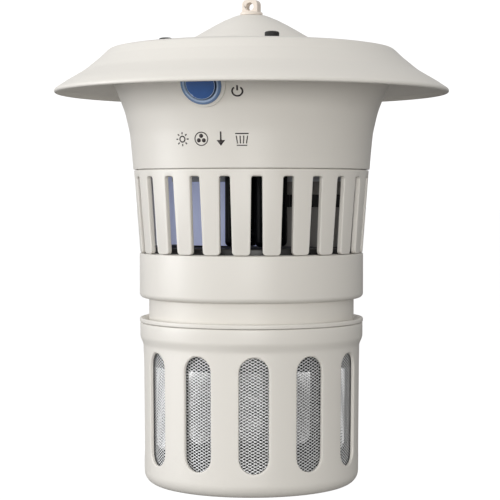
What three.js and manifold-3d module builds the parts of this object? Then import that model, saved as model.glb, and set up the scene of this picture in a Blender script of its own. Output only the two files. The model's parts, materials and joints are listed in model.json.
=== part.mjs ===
// Suction-fan insect trap with an ultraviolet lamp, built as separate pieces.
// Millimetres, +Z up, front towards -Y, origin at the centre of the basket's base.
// From the top: hanging eye, dome, rain canopy, head with the push-button, slotted
// lamp chamber, fan housing with its duct, and the catch basket that drops off below.
import * as THREE from "three";
import { mergeVertices } from "three/addons/utils/BufferGeometryUtils.js";
import Module from "manifold-3d";

const wasm = await Module();
wasm.setup();

// ---------------------------------------------------------------- driving dimensions
const GAP = 0.3; // between neighbouring pieces
const ROUND = 36; // facets round a large turned piece
const WALL = 2.5; // moulded wall

const CANOPY_R = 125; // outer radius of the rain canopy
const DECK_Z = 276.4; // top of the canopy's flat deck at the screws
const CABLE_HOLE_R = 30; // opening in the deck under the dome
const PLUG_CIRCLE_R = 55; // circle of the four canopy screws
const POST_ANGLES = [33, 123, 213, 303]; // degrees from the front towards +X

const EYE_WIDTH = 10.4;
const EYE_DEPTH = 7;
const EYE_HOLE_R = 2.5;
const EYE_HOLE_Z = 301.8;
const EYE_TOP_Z = 306.2;
const COLLAR_R = 7.1;
const COLLAR_Z = 296.6; // underside of the eye's collar
const STUD_R = 2.5;
const BAR_Z = 271.2; // underside of the steel hanger bar
const BAR_T = 2.5;
const BAR_HALF_LENGTH = 39;
const BAR_HALF_WIDTH = 7;
const BAR_SCREW_X = 33;
const BAR_SCREW_HOLE_R = 1.6;
const PLUG_SHANK_R = 3.5;
const PLUG_R = 4.4;
const WELL_R = 6.3; // boss round each canopy screw
const WELL_BORE_R = 3.9;

const HEAD_FOOT_Z = 198.9;
const HEAD_TOP_Z = 266.8;
const TRAY_Z = 200.3; // underside of the circuit tray
const TRAY_T = 2.5;
const TRAY_TOP_Z = TRAY_Z + TRAY_T;
const POST_R = 5;
const POST_TOP_Z = 265.7;
const TRAY_R = 71.8;
const TRAY_HOLE_R = 1.9;

const SWITCH_TILT = 21.6; // degrees that the button's axis points below level
const SWITCH_Y = -85.3;
const SWITCH_Z = 248.4;
const BUTTON_R = 9.6;
const BEZEL_R = 12.3;
const BEZEL_SLEEVE_R = 11;
const BOSS_R = 13.9;
const BOSS_HEIGHT = 1.2; // above the button's reference plane
const BUTTON_STEM_R = 3.5;
const BUTTON_RISE = 4.5;

const INLET_Z = 216; // centre of the power inlet on the back
const INLET_PAD_Y = 77.9; // face of the pad that the inlet's flange sits on
const INLET_PAD_HALF_W = 15;
const INLET_PAD_HALF_H = 10.5;
const INLET_PIN_X = 4.3;
const INLET_PIN_R = 1.2;

const SLOTS = 24;
const SLOT_FOOT_Z = 147;
const SLOT_TOP_Z = 194;
const SLOT_FOOT_W = 7.6;
const SLOT_TOP_W = 6.6;

const FAN_RING_R = 71;
const FAN_RING_TOP_Z = 146.1;
const FAN_RING_FOOT_Z = 118;
const SHELF_Z = 121.5; // shelf that carries the fan frame
const NECK_R = 65.1;
const NECK_BORE_R = 62.6;
const NECK_FOOT_Z = 75.6;

const FRAME_Z = SHELF_Z + GAP; // underside of the fan frame
const FRAME_BORE_R = 60;
const FRAME_TOP_Z = 145.7;
const FAN_SCREW_CIRCLE_R = 65.2;
const ROTOR_HUB_R = 20.5;
const BLADES = 7;
const BLADE_TIP_R = 57.5;
const BLADE_CHORD = 25;
const BLADE_PITCH = 38; // degrees from level
const BLADE_T = 1.8;
const BLADE_Z = 135.6; // mid height of the blades
const BLADE_ROOT_R = 14;
const ROTOR_FOOT_Z = 127.6;
const ROTOR_TOP_Z = 144.2;
const MOTOR_R = 17.4;
const SHAFT_R = 1.5;
const GUARD_WIRES = [14, 29, 44]; // radii of the guard's hoops
const WIRE_HALF = 0.9;

const LAMP_X = 3.3; // the lamp stands a little right of the axis
const TUBE_R = 7;
const TUBE_PITCH = 20;
const TUBE_FOOT_Z = 149.9;
const LAMP_BASE_R = 21.4;
const LAMP_BASE_Z = 197;
const LAMP_BASE_TOP_Z = 214;
const PLATE_Y = 19; // front face of the lure plates
const PLATE_T = 1.2;
const PLATE_FOOT_HALF = 63.5; // half the plates' overall width, which grows upwards
const PLATE_TOP_HALF = 66.5;
const PLATE_FOOT_Z = 149.6;
const PLATE_TOP_Z = 196.6;
const RAIL_FOOT_Z = 191.3;
const RAIL_HALF_T = 2.1;
const RAIL_HALF = 62.3;
const CLAMP_FOOT_Z = 175;
const CLAMP_TOP_Z = 183;
const CLAMP_RING_R = 8.7;
const LEAD_R = 1.3;

const FLAP_R = 61.6;
const FLAP_T = 1.2;
const FLAP_Z = 78.5; // height of the shutters and of their pin
const FLAP_EDGE_Y = 4.7; // the shutters' straight edges stand this far from the pin's axis
const KNUCKLE_R = 3.2;
const FRONT_KNUCKLES = [[-54, -36], [18, 33]]; // spans along X
const REAR_KNUCKLES = [[-33, -18], [36, 54]];
const PIN_R = 1.2;
const PIN_HALF_LENGTH = 61.2;
const SPRING_R = 2.6;
const SPRING_WIRE_R = 0.45;
const SPRING_TURNS = 5;
const SPRING_LENGTH = 22;

const RIM_R = 71;
const RIM_TOP_Z = 105.3;
const RIM_FOOT_Z = 94;
const RIM_SKIRT_R = 67.9;
const RIM_BORE_R = 66.2;
const BAND_TOP_Z = 102.3; // top of the basket's band
const BASKET_WALL = 2.2;
const LINER_T = 0.4;
const WINDOWS = 12;
const WINDOW_R = 9.25; // half the width of a stadium window, and its end radius
const WINDOW_FOOT_Z = 15.1;
const WINDOW_TOP_Z = 85.1;
const WINDOW_START = 21.3; // degrees from the front to the first window

// ---------------------------------------------------------------- finishes
const finish = (color, roughness, metalness = 0) => () =>
  new THREE.MeshStandardMaterial({ color, roughness, metalness });
const ivory = finish(0xe6e1d8, 0.45);
const eyeCream = finish(0xe8d9c8, 0.45);
const blackRubber = finish(0x161616, 0.8);
const blackPlastic = finish(0x1c1c1d, 0.5);
const steel = finish(0xb9bcc0, 0.3, 1);
const blueClear = finish(0x8aa3c4, 0.15);
const blueGloss = finish(0x2e4c80, 0.12);
const blackGlass = finish(0x0a0c12, 0.08);
const lavender = finish(0x99a3c0, 0.4);
const darkGrey = finish(0x5c5e60, 0.5);
const railGrey = finish(0x7c8088, 0.5);
const boardGreen = finish(0x2f6b3c, 0.5);
const whiteMesh = finish(0xd9d9d9, 0.4);
const copper = finish(0xb5703a, 0.35, 1);

// ---------------------------------------------------------------- solid helpers
function solid(geometry) {
  const bare = geometry.index ? geometry.toNonIndexed() : geometry.clone();
  bare.deleteAttribute("normal");
  bare.deleteAttribute("uv");
  const merged = mergeVertices(bare, 1e-3);
  return new wasm.Manifold(
    new wasm.Mesh({
      numProp: 3,
      vertProperties: merged.attributes.position.array,
      triVerts: new Uint32Array(merged.index.array),
    }),
  );
}

function geometryOf(body) {
  const mesh = body.getMesh();
  const geometry = new THREE.BufferGeometry();
  const positions = new Float32Array(mesh.vertProperties);
  geometry.setAttribute("position", new THREE.BufferAttribute(positions, 3));
  geometry.setIndex(new THREE.BufferAttribute(new Uint32Array(mesh.triVerts), 1));
  geometry.computeVertexNormals();
  return geometry;
}

// A profile of [radius, height] points turned round the Z axis. It closes on itself,
// unless both its ends are on the axis.
function turned(profile, facets = ROUND) {
  const outline = profile.map(([r, z]) => new THREE.Vector2(r, z));
  if (THREE.ShapeUtils.isClockWise(outline)) outline.reverse();
  if (outline[0].x > 0) outline.push(outline[0].clone());
  return new THREE.LatheGeometry(outline, facets).rotateX(Math.PI / 2);
}

const disc = (r, low, high, facets = 24) =>
  turned([[0, low], [r, low], [r, high], [0, high]], facets);

const hoop = (inner, outer, low, high, facets = ROUND) =>
  turned([[inner, low], [outer, low], [outer, high], [inner, high]], facets);

function block(low, high) {
  const size = high.map((value, i) => value - low[i]);
  const middle = high.map((value, i) => (value + low[i]) / 2);
  return new THREE.BoxGeometry(...size).translate(...middle);
}

// An outline drawn in X and Z, run from the axis side towards the front.
function frontward(shape, from, to, curveSegments = 4) {
  const settings = { depth: to - from, bevelEnabled: false, curveSegments };
  return new THREE.ExtrudeGeometry(shape, settings).rotateX(Math.PI / 2).translate(0, -from, 0);
}

const radians = THREE.MathUtils.degToRad;
const turnedTo = (geometry, degrees) => geometry.clone().rotateZ(radians(degrees));

// The point at a radius and an angle from the front towards +X.
const polar = (r, degrees) => [r * Math.sin(radians(degrees)), -r * Math.cos(radians(degrees))];

const joined = (first, ...others) => others.reduce((body, next) => body.add(next), first);
const cut = (first, ...others) => others.reduce((body, next) => body.subtract(next), first);

// A wall of even thickness on the right-hand side of an open outline.
function skin(outline, wall) {
  const points = outline.map(([r, z]) => new THREE.Vector2(r, z));
  const inner = points.map((point, i) => {
    const before = points[Math.max(i - 1, 0)];
    const after = points[Math.min(i + 1, points.length - 1)];
    const along = after.clone().sub(before).normalize();
    return [point.x + along.y * wall, point.y - along.x * wall];
  });
  return [...outline, ...inner.reverse()];
}

function curved(points, count) {
  const curve = new THREE.SplineCurve(points.map(([r, z]) => new THREE.Vector2(r, z)));
  return curve.getPoints(count).map((point) => [point.x, point.y]);
}

function arc(centreR, centreZ, radius, from, to, steps) {
  return Array.from({ length: steps + 1 }, (_, i) => {
    const angle = radians(from + ((to - from) * i) / steps);
    return [centreR + radius * Math.cos(angle), centreZ + radius * Math.sin(angle)];
  });
}

// ---------------------------------------------------------------- the assembly
const trap = new THREE.Group();

function place(name, shape, material, group = trap) {
  const geometry = shape.isBufferGeometry ? shape : geometryOf(shape);
  const mesh = new THREE.Mesh(geometry, material());
  mesh.name = name;
  group.add(mesh);
  return mesh;
}

function screw(name, headR, headH, shankR, shankL, at, pointsUp = false) {
  const profile = [[0, -shankL], [shankR, -shankL], [shankR, 0], [headR, 0], [headR, headH * 0.5]];
  profile.push([headR * 0.7, headH], [0, headH]);
  const mesh = place(name, turned(profile, 8), steel);
  mesh.position.set(...at);
  if (pointsUp) mesh.rotation.x = Math.PI;
}

// Lug with the eye, its collar, and the stud that carries the whole trap.
function hangingEye() {
  const half = EYE_WIDTH / 2;
  const corner = 3;
  const low = COLLAR_Z + 1;
  const shape = new THREE.Shape();
  shape.moveTo(-half, low);
  shape.lineTo(half, low);
  shape.lineTo(half, EYE_TOP_Z - corner);
  shape.absarc(half - corner, EYE_TOP_Z - corner, corner, 0, Math.PI / 2);
  shape.absarc(corner - half, EYE_TOP_Z - corner, corner, Math.PI / 2, Math.PI);
  const hole = new THREE.Path();
  hole.absarc(0, EYE_HOLE_Z, EYE_HOLE_R, 0, 2 * Math.PI);
  shape.holes.push(hole);
  const lug = solid(frontward(shape, -EYE_DEPTH / 2, EYE_DEPTH / 2, 6));
  const collar = solid(disc(COLLAR_R, COLLAR_Z, COLLAR_Z + 1.8));
  const stud = solid(disc(STUD_R, BAR_Z - 6.5, COLLAR_Z + 1, 12));
  place("hanging_eye", joined(lug, collar, stud), eyeCream);
}

function hanger() {
  const stud = solid(disc(STUD_R + GAP, BAR_Z - 8, BAR_Z + 8, 12));
  const low = [-BAR_HALF_LENGTH, -BAR_HALF_WIDTH, BAR_Z];
  const bar = solid(block(low, [BAR_HALF_LENGTH, BAR_HALF_WIDTH, BAR_Z + BAR_T]));
  const holes = [BAR_SCREW_X, -BAR_SCREW_X].map((x) => barScrewHole(x, BAR_Z));
  place("hanger_bar", cut(bar, stud, ...holes), steel);
  const nut = cut(solid(disc(5.8, BAR_Z - 5, BAR_Z - GAP, 6)), stud);
  place("eye_nut", nut, steel);
  const headZ = DECK_Z + 0.9;
  screw("hanger_screw_right", 3.1, 2, 1.3, 6.5, [BAR_SCREW_X, 0, headZ]);
  screw("hanger_screw_left", 3.1, 2, 1.3, 6.5, [-BAR_SCREW_X, 0, headZ]);
}

const barScrewHole = (x, z) =>
  solid(disc(BAR_SCREW_HOLE_R, z - 1, z + 8, 12).translate(x, 0, 0));

function domeCap() {
  const outline = curved([[7, 296.3], [11.4, 295.3], [23.4, 289.7], [33.5, 283.9], [44.5, 277.2]], 5);
  const shell = solid(turned(skin([[0, 296.3], ...outline], WALL)));
  const studHole = solid(disc(STUD_R + GAP, 285, 300, 12));
  const deckRoom = solid(disc(60, 270, DECK_Z + 0.7));
  place("dome_cap", cut(shell, studHole, deckRoom), ivory);
}

// Broad brim with a flat deck. Four wells in the deck take the screws and their plugs.
function rainCanopy() {
  const brim = [[89.5, 274.7], [96, 268.7], [106, 260.5], [117.8, 253.5], [123.2, 249.6]];
  const top = [[CABLE_HOLE_R, 277], [87.4, 275.3], ...brim, [CANOPY_R, 247.3]];
  let shell = solid(turned(skin(top, WALL)));
  for (const angle of POST_ANGLES) {
    const [x, y] = polar(PLUG_CIRCLE_R, angle);
    const low = POST_TOP_Z + GAP;
    const well = solid(disc(WELL_R, low, DECK_Z - 1, 12).translate(x, y, 0));
    const bore = solid(disc(WELL_BORE_R, low + WALL, DECK_Z + 3, 12).translate(x, y, 0));
    const hole = solid(disc(2.2, POST_TOP_Z - 1, DECK_Z, 8).translate(x, y, 0));
    shell = cut(shell.add(well), bore, hole);
  }
  const barHoles = [BAR_SCREW_X, -BAR_SCREW_X].map((x) => barScrewHole(x, DECK_Z - 4));
  place("rain_canopy", cut(shell, ...barHoles), ivory);
}

function canopyFixings() {
  POST_ANGLES.forEach((angle, i) => {
    const [x, y] = polar(PLUG_CIRCLE_R, angle);
    const foot = DECK_Z + 0.5;
    const low = DECK_Z - 4.5;
    const profile = [[0, low], [PLUG_SHANK_R, low], [PLUG_SHANK_R, foot], [PLUG_R, foot]];
    profile.push([PLUG_R, foot + 3.4], [PLUG_R - 0.8, foot + 4.2], [0, foot + 4.5]);
    place("canopy_plug_" + (i + 1), turned(profile, 12), blackRubber).position.set(x, y, 0);
    const headZ = POST_TOP_Z + 3.1;
    screw("canopy_screw_" + (i + 1), 3.4, 2.4, 1.8, 14, [x, y, headZ]);
  });
}

// Funnel-shaped head: four screw posts on ribs, a boss for the button, a pad for the inlet.
function headHousing() {
  const lower = [[75, HEAD_FOOT_Z], [76, 211.3], [78, 226.4], [82.5, 241.2], [86.9, 252.3]];
  const side = curved([...lower, [92.4, HEAD_TOP_Z]], 6);
  const shell = solid(turned(skin([...side].reverse(), WALL)));
  const filled = solid(turned([[0, HEAD_FOOT_Z], ...side, [0, HEAD_TOP_Z]]));
  const posts = POST_ANGLES.map((angle) => {
    const [x, y] = polar(PLUG_CIRCLE_R, angle);
    const post = solid(disc(POST_R, TRAY_TOP_Z + GAP, POST_TOP_Z, 10).translate(x, y, 0));
    const web = block([-1.25, -95, 222], [1.25, -PLUG_CIRCLE_R, 260]);
    return post.add(solid(turnedTo(web, angle)).intersect(filled));
  });
  const screwHoles = POST_ANGLES.map((angle) => {
    const [x, y] = polar(PLUG_CIRCLE_R, angle);
    const upper = disc(2.1, 250, HEAD_TOP_Z, 8).translate(x, y, 0);
    const lower = disc(1.8, TRAY_Z, 216, 8).translate(x, y, 0);
    return solid(upper).add(solid(lower));
  });
  const boss = solid(atSwitch(disc(BOSS_R, -4.5, BOSS_HEIGHT, 24)));
  const buttonHole = solid(atSwitch(disc(BEZEL_SLEEVE_R + GAP, -12, 4, 24)));
  const padLow = [-INLET_PAD_HALF_W, 73.5, INLET_Z - INLET_PAD_HALF_H];
  const padHigh = [INLET_PAD_HALF_W, INLET_PAD_Y, INLET_Z + INLET_PAD_HALF_H];
  const inletHole = solid(block([-11, 60, INLET_Z - 7], [11, 82, INLET_Z + 7]));
  const whole = joined(shell, ...posts, boss, solid(block(padLow, padHigh)));
  place("head_housing", cut(whole, ...screwHoles, buttonHole, inletHole), ivory);
}

// Moves a shape drawn round +Z onto the button's axis, +Z pointing out of the head.
function atSwitch(geometry) {
  return geometry.rotateX(radians(90 + SWITCH_TILT)).translate(0, SWITCH_Y, SWITCH_Z);
}

function pushSwitch() {
  const bore = BUTTON_R + 0.4;
  const seat = BOSS_HEIGHT + GAP;
  const bezel = [[bore, -12], [BEZEL_SLEEVE_R, -12], [BEZEL_SLEEVE_R, seat], [BEZEL_R, seat]];
  bezel.push([BEZEL_R, 2.2], [BEZEL_R - 0.6, 2.8], [bore, 2.8]);
  place("switch_bezel", atSwitch(turned(bezel, 24)), blueClear);
  const button = [[0, -10], [BUTTON_STEM_R, -10], [BUTTON_STEM_R, -6], [BUTTON_R, -6]];
  button.push([BUTTON_R, 3.1], [7.6, 3.8], [4, 4.3], [0, BUTTON_RISE]);
  place("push_button", atSwitch(turned(button, 24)), blueGloss);
  const can = solid(atSwitch(disc(9.4, -33, -12.6, 24)));
  const stemRoom = solid(atSwitch(disc(BUTTON_STEM_R + 0.4, -16, -12, 16)));
  place("switch_body", cut(can, stemRoom), blackPlastic);
}

function powerInlet() {
  const low = (y, half, x) => [-x, y, INLET_Z - half];
  const high = (y, half, x) => [x, y, INLET_Z + half];
  const flange = solid(block(low(78.2, 9.5, 14), high(79.9, 9.5, 14)));
  const body = solid(block(low(62, 6.6, 10.6), high(79, 6.6, 10.6)));
  const recess = solid(block(low(69, 4.4, 8.5), high(82, 4.4, 8.5)));
  const pinHole = (x) => solid(inletPin(INLET_PIN_R + GAP, 66, 70, x));
  const whole = cut(joined(flange, body), recess, pinHole(-INLET_PIN_X), pinHole(INLET_PIN_X));
  place("power_inlet", whole, blackPlastic);
  place("inlet_pin_left", inletPin(INLET_PIN_R, 66.3, 77, -INLET_PIN_X), steel);
  place("inlet_pin_right", inletPin(INLET_PIN_R, 66.3, 77, INLET_PIN_X), steel);
}

const inletPin = (r, from, to, x) =>
  disc(r, from, to, 12).rotateX(-Math.PI / 2).translate(x, 0, INLET_Z);

function circuitTray() {
  const holes = POST_ANGLES.map((angle) => {
    const [x, y] = polar(PLUG_CIRCLE_R, angle);
    return solid(disc(TRAY_HOLE_R, TRAY_Z - 1, TRAY_TOP_Z + 1, 12).translate(x, y, 0));
  });
  const lampHole = disc(LAMP_BASE_R + 0.7, TRAY_Z - 1, TRAY_TOP_Z + 1, 24).translate(LAMP_X, 0, 0);
  const tray = solid(disc(TRAY_R, TRAY_Z, TRAY_TOP_Z, ROUND));
  place("circuit_tray", cut(tray, ...holes, solid(lampHole)), ivory);
  [0, 2].forEach((corner, i) => {
    const [x, y] = polar(PLUG_CIRCLE_R, POST_ANGLES[corner]);
    screw("tray_screw_" + (i + 1), 3.1, 2, 1.5, 11, [x, y, TRAY_Z - GAP], true);
  });
}

function electronics() {
  const boardZ = TRAY_TOP_Z + 2.5;
  const board = solid(block([25, -30, boardZ], [59, 22, boardZ + 1.6]));
  const feet = [[28, -27], [56, -27], [28, 19], [56, 19]].map(([x, y]) =>
    solid(disc(1.6, TRAY_TOP_Z + GAP, boardZ + 0.5, 10).translate(x, y, 0)),
  );
  place("driver_board", joined(board, ...feet), boardGreen);
  const top = boardZ + 1.6 + GAP;
  const winding = solid(disc(8.2, top + 2, top + 12, 20).translate(46, 6, 0));
  const core = solid(block([36.5, -1.5, top], [55.5, 13.5, top + 2.5]));
  const lid = solid(block([36.5, -1.5, top + 11.5], [55.5, 13.5, top + 14]));
  place("board_transformer", joined(winding, core, lid), copper);
  const can = turned([[0, top], [6.3, top], [6.3, top + 18], [5.6, top + 19], [0, top + 19]], 20);
  place("board_capacitor", can.translate(46, -17, 0), blackPlastic);
  const module = block([-59, -15, TRAY_TOP_Z + GAP], [-29, 17, 221]);
  place("power_module", module, blackPlastic);
}

function lampMount() {
  const socket = cut(
    solid(disc(15, LAMP_BASE_TOP_Z + GAP, 230, 24)),
    solid(disc(6, LAMP_BASE_TOP_Z - 1, 222, 16)),
  );
  place("lamp_socket", socket.translate([LAMP_X, 0, 0]), blackPlastic);
  const foot = TRAY_TOP_Z + GAP;
  const crown = solid(block([-10, -27, 230.3], [10, 27, 232.3]));
  const legs = [0, 180].flatMap((angle) => {
    const leg = block([-10, 25, foot], [10, 27, 231]);
    const toe = block([-10, 26, foot], [10, 34, foot + 2]);
    return [solid(turnedTo(leg, angle)), solid(turnedTo(toe, angle))];
  });
  place("socket_bracket", joined(crown, ...legs).translate([LAMP_X, 0, 0]), steel);
}

// Twin-tube ultraviolet lamp. Each glass is a pair of round-ended tubes with a bridge.
function lamp() {
  const base = [[0, LAMP_BASE_Z], [LAMP_BASE_R - 2, LAMP_BASE_Z], [LAMP_BASE_R, LAMP_BASE_Z + 2]];
  base.push([LAMP_BASE_R, LAMP_BASE_TOP_Z - 3], [14, LAMP_BASE_TOP_Z], [0, LAMP_BASE_TOP_Z]);
  place("lamp_base", turned(base, 24).translate(LAMP_X, 0, 0), blackPlastic);
  const round = arc(0, TUBE_FOOT_Z + TUBE_R, TUBE_R, -90, 0, 4);
  const top = LAMP_BASE_Z - GAP;
  const glass = turned([...round, [TUBE_R, top], [0, top]], 12);
  const half = TUBE_PITCH / 2;
  const bridge = disc(3.2, -half, half, 8).rotateY(Math.PI / 2).translate(0, 0, TUBE_FOOT_Z + 8);
  for (const [name, y] of [["lamp_tube_front", -half], ["lamp_tube_rear", half]]) {
    const left = solid(glass.clone().translate(-half, 0, 0));
    const right = solid(glass.clone().translate(half, 0, 0));
    place(name, joined(left, right, solid(bridge)).translate([LAMP_X, y, 0]), blackGlass);
  }
}

// The lure plates hang from a grooved rail under the tray, behind the lamp.
function lurePlates() {
  const middle = PLATE_Y + PLATE_T / 2;
  const groove = block([-70, middle - 1, 180], [70, middle + 1, PLATE_TOP_Z + 0.4]);
  const railLow = [-RAIL_HALF, middle - RAIL_HALF_T, RAIL_FOOT_Z];
  const rail = block(railLow, [RAIL_HALF, middle + RAIL_HALF_T, TRAY_Z - GAP]);
  const low = LAMP_BASE_Z - 0.4;
  const baseRoom = solid(disc(LAMP_BASE_R + 0.7, low, 205, 32).translate(LAMP_X, 0, 0));
  place("plate_rail", cut(solid(rail), solid(groove), baseRoom), railGrey);
  place("lure_plate_left", lurePlate(-1, LAMP_X - GAP), lavender);
  place("lure_plate_right", lurePlate(1, LAMP_X + GAP), darkGrey);
}

// Upright plate from the joint at the lamp to the chamber's slanted wall on one side.
function lurePlate(side, joint) {
  const corners = [[joint, PLATE_FOOT_Z], [side * PLATE_FOOT_HALF, PLATE_FOOT_Z]];
  corners.push([side * PLATE_TOP_HALF, PLATE_TOP_Z], [joint, PLATE_TOP_Z]);
  const shape = new THREE.Shape(corners.map(([x, z]) => new THREE.Vector2(x, z)));
  return frontward(shape, -PLATE_Y - PLATE_T, -PLATE_Y);
}

// Bar on the right-hand plate with two open rings that steady the rear tubes.
function lampClamp() {
  const low = CLAMP_FOOT_Z;
  const high = CLAMP_TOP_Z;
  const half = TUBE_PITCH / 2;
  const bore = TUBE_R + 0.5;
  const bar = solid(block([-12, half + TUBE_R + GAP, low], [61 - LAMP_X, PLATE_Y - GAP, high]));
  const atTubes = (geometry) => [-half, half].map((x) => solid(geometry.clone().translate(x, half, 0)));
  const rings = atTubes(hoop(bore, CLAMP_RING_R, low, high, 20));
  const tubeRoom = atTubes(disc(bore, low - 1, high + 1, 20));
  const mouth = solid(block([-30, half - 20, low - 1], [30, half - 3, high + 1]));
  const clip = cut(joined(bar, ...rings), mouth, ...tubeRoom);
  place("lamp_clamp", clip.translate([LAMP_X, 0, 0]), blackPlastic);
}

// Leads inside the head, as smooth tubes through a few hand-laid points.
function lead(name, points, material) {
  const path = new THREE.CatmullRomCurve3(points.map((point) => new THREE.Vector3(...point)));
  const section = new THREE.Shape();
  section.absarc(0, 0, LEAD_R, 0, 2 * Math.PI);
  const settings = { steps: 12, bevelEnabled: false, extrudePath: path, curveSegments: 3 };
  place(name, new THREE.ExtrudeGeometry(section, settings), material);
}

function leads() {
  const fromInlet = [[0, 61.6, INLET_Z], [0, 56, INLET_Z + 0.6], [-14, 38, 227]];
  lead("inlet_lead", [...fromInlet, [-34, 16, 230], [-42, 6, 227], [-43, 4, 221.4]], blackPlastic);
  const fromSwitch = [[0, -54, 260.6], [-3, -48, 261.6], [-18, -32, 255]];
  lead("switch_lead", [...fromSwitch, [-33, -16, 238], [-37, -9, 227], [-37, -8, 221.4]], blackPlastic);
  const fromTray = [[29.5, 9, 207.4], [29.5, 9, 212], [27, 7, 219]];
  lead("lamp_lead", [...fromTray, [23, 3, 222], [19.2, 0, 222]], blackRubber);
}

// Slotted wall of the lamp chamber: a hoop, 24 bars, and a foot that nests in the fan housing.
function grilleRing() {
  const profile = [[70.6, FAN_RING_TOP_Z + GAP], [74.5, 198.3], [72.1, 198.3], [72.1, 199.9]];
  profile.push([69.7, 199.9], [71.2, 194.4], [67.4, 150], [64.4, 147], [64.4, 142]);
  profile.push([67.5, 142], [67.5, FAN_RING_TOP_Z + GAP]);
  const corner = 1.8;
  const half = SLOT_TOP_W / 2;
  const slot = new THREE.Shape();
  slot.moveTo(-SLOT_FOOT_W / 2, SLOT_FOOT_Z);
  slot.lineTo(SLOT_FOOT_W / 2, SLOT_FOOT_Z);
  slot.lineTo(half, SLOT_TOP_Z - corner);
  slot.absarc(half - corner, SLOT_TOP_Z - corner, corner, 0, Math.PI / 2);
  slot.absarc(corner - half, SLOT_TOP_Z - corner, corner, Math.PI / 2, Math.PI);
  const cutter = frontward(slot, 60, 80, 1);
  const step = 360 / SLOTS;
  const cutters = Array.from({ length: SLOTS }, (_, i) =>
    solid(turnedTo(cutter, step * (i + 0.5))),
  );
  place("grille_ring", cut(solid(turned(profile)), ...cutters), ivory);
}

// Ring round the fan, with a shelf inside and the duct that reaches into the basket.
function fanHousing() {
  const fillet = 3.8;
  const round = arc(FAN_RING_R - fillet, FAN_RING_FOOT_Z + fillet, fillet, -90, 0, 3);
  const profile = [...round, [FAN_RING_R, FAN_RING_TOP_Z], [68, FAN_RING_TOP_Z], [68, SHELF_Z]];
  profile.push([NECK_BORE_R, SHELF_Z], [NECK_BORE_R, 81.6], [60.6, 81.6], [60.6, 79.5]);
  profile.push([NECK_BORE_R, 79.5], [NECK_BORE_R, NECK_FOOT_Z], [NECK_R, NECK_FOOT_Z]);
  profile.push([NECK_R, FAN_RING_FOOT_Z]);
  const lugs = [40, 160, 280].map((angle) => {
    const lug = block([-7, -66.9, 91.2], [7, -64.2, 93.6]);
    return solid(turnedTo(lug, angle)).intersect(solid(disc(66.9, 90, 95, ROUND)));
  });
  const pinSeats = [0, 180].map((angle) =>
    solid(turnedTo(block([57.5, -3, FLAP_Z - 2.9], [63, 3, FLAP_Z + 2.9]), angle)),
  );
  const pinBore = solid(alongX(disc(PIN_R + GAP, -61.5, 61.5, 12)));
  const screwHoles = [45, 135, 225, 315].map((angle) => {
    const [x, y] = polar(FAN_SCREW_CIRCLE_R, angle);
    return solid(disc(1.5, SHELF_Z - 2.6, SHELF_Z + 1, 10).translate(x, y, 0));
  });
  const whole = joined(solid(turned(profile)), ...lugs, ...pinSeats);
  place("fan_housing", cut(whole, pinBore, ...screwHoles), ivory);
}

// Lays a shape drawn round +Z along X, at the height of the shutter pin.
const alongX = (geometry) => geometry.rotateY(Math.PI / 2).translate(0, 0, FLAP_Z);

function fanFrame() {
  const profile = [[FRAME_BORE_R, FRAME_Z], [67.5, FRAME_Z], [67.5, FRAME_Z + 2.5]];
  profile.push([62.4, FRAME_Z + 2.5], [62.4, FRAME_TOP_Z], [FRAME_BORE_R, FRAME_TOP_Z]);
  const hub = solid(disc(19, FRAME_Z, FRAME_Z + 2.5, 24));
  const struts = [0, 90, 180, 270].map((angle) =>
    solid(turnedTo(block([-3, -61, FRAME_Z], [3, -17, FRAME_Z + 3.2]), angle)),
  );
  const holes = [45, 135, 225, 315].map((angle, i) => {
    const [x, y] = polar(FAN_SCREW_CIRCLE_R, angle);
    screw("fan_screw_" + (i + 1), 2.2, 1.7, 1.2, 4.6, [x, y, FRAME_Z + 2.5 + GAP]);
    return solid(disc(1.5, FRAME_Z - 1, FRAME_Z + 4, 10).translate(x, y, 0));
  });
  const seat = solid(disc(18.2, FRAME_Z + 2.5, FRAME_Z + 6, 24));
  place("fan_frame", cut(joined(solid(turned(profile)), hub, ...struts), ...holes, seat), blackPlastic);
}

function fanMotor() {
  const low = FRAME_Z + 2.5 + GAP;
  const bore = solid(disc(SHAFT_R + 0.35, low + 1.5, 145, 12));
  place("fan_motor", cut(solid(disc(MOTOR_R, low, 140, 24)), bore), copper);
  place("motor_shaft", disc(SHAFT_R, low + 2.2, 144.6, 12), steel);
}

function fanRotor() {
  const profile = [[0, ROTOR_FOOT_Z], [ROTOR_HUB_R, ROTOR_FOOT_Z], [ROTOR_HUB_R, ROTOR_TOP_Z - 1.2]];
  profile.push([ROTOR_HUB_R - 1.5, ROTOR_TOP_Z], [0, ROTOR_TOP_Z]);
  const hub = solid(turned(profile, 28));
  const radial = BLADE_TIP_R - BLADE_ROOT_R;
  const blade = new THREE.BoxGeometry(BLADE_CHORD, radial, BLADE_T)
    .rotateY(radians(BLADE_PITCH))
    .translate(0, -BLADE_ROOT_R - radial / 2, BLADE_Z);
  const blades = Array.from({ length: BLADES }, (_, i) => solid(turnedTo(blade, (360 / BLADES) * i)));
  const cup = solid(disc(18.4, 120, 141.6, 28));
  const shaftHole = solid(disc(SHAFT_R + GAP, 140, 146, 12));
  place("fan_rotor", cut(joined(hub, ...blades), cup, shaftHole), blackPlastic);
}

// Finger guard on top of the fan frame.
function fanGuard() {
  const low = FRAME_TOP_Z + GAP;
  const rim = solid(hoop(60.2, 63.9, low, low + 3.2));
  const wires = GUARD_WIRES.map((r) =>
    solid(hoop(r - WIRE_HALF, r + WIRE_HALF, low + 0.8, low + 2.4, 24)),
  );
  const spoke = block([-WIRE_HALF, -61, low + 0.8], [WIRE_HALF, -13.5, low + 2.4]);
  const spokes = [30, 150, 270].map((angle) => solid(turnedTo(spoke, angle)));
  place("fan_guard", joined(rim, ...wires, ...spokes), blackPlastic);
}

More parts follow.
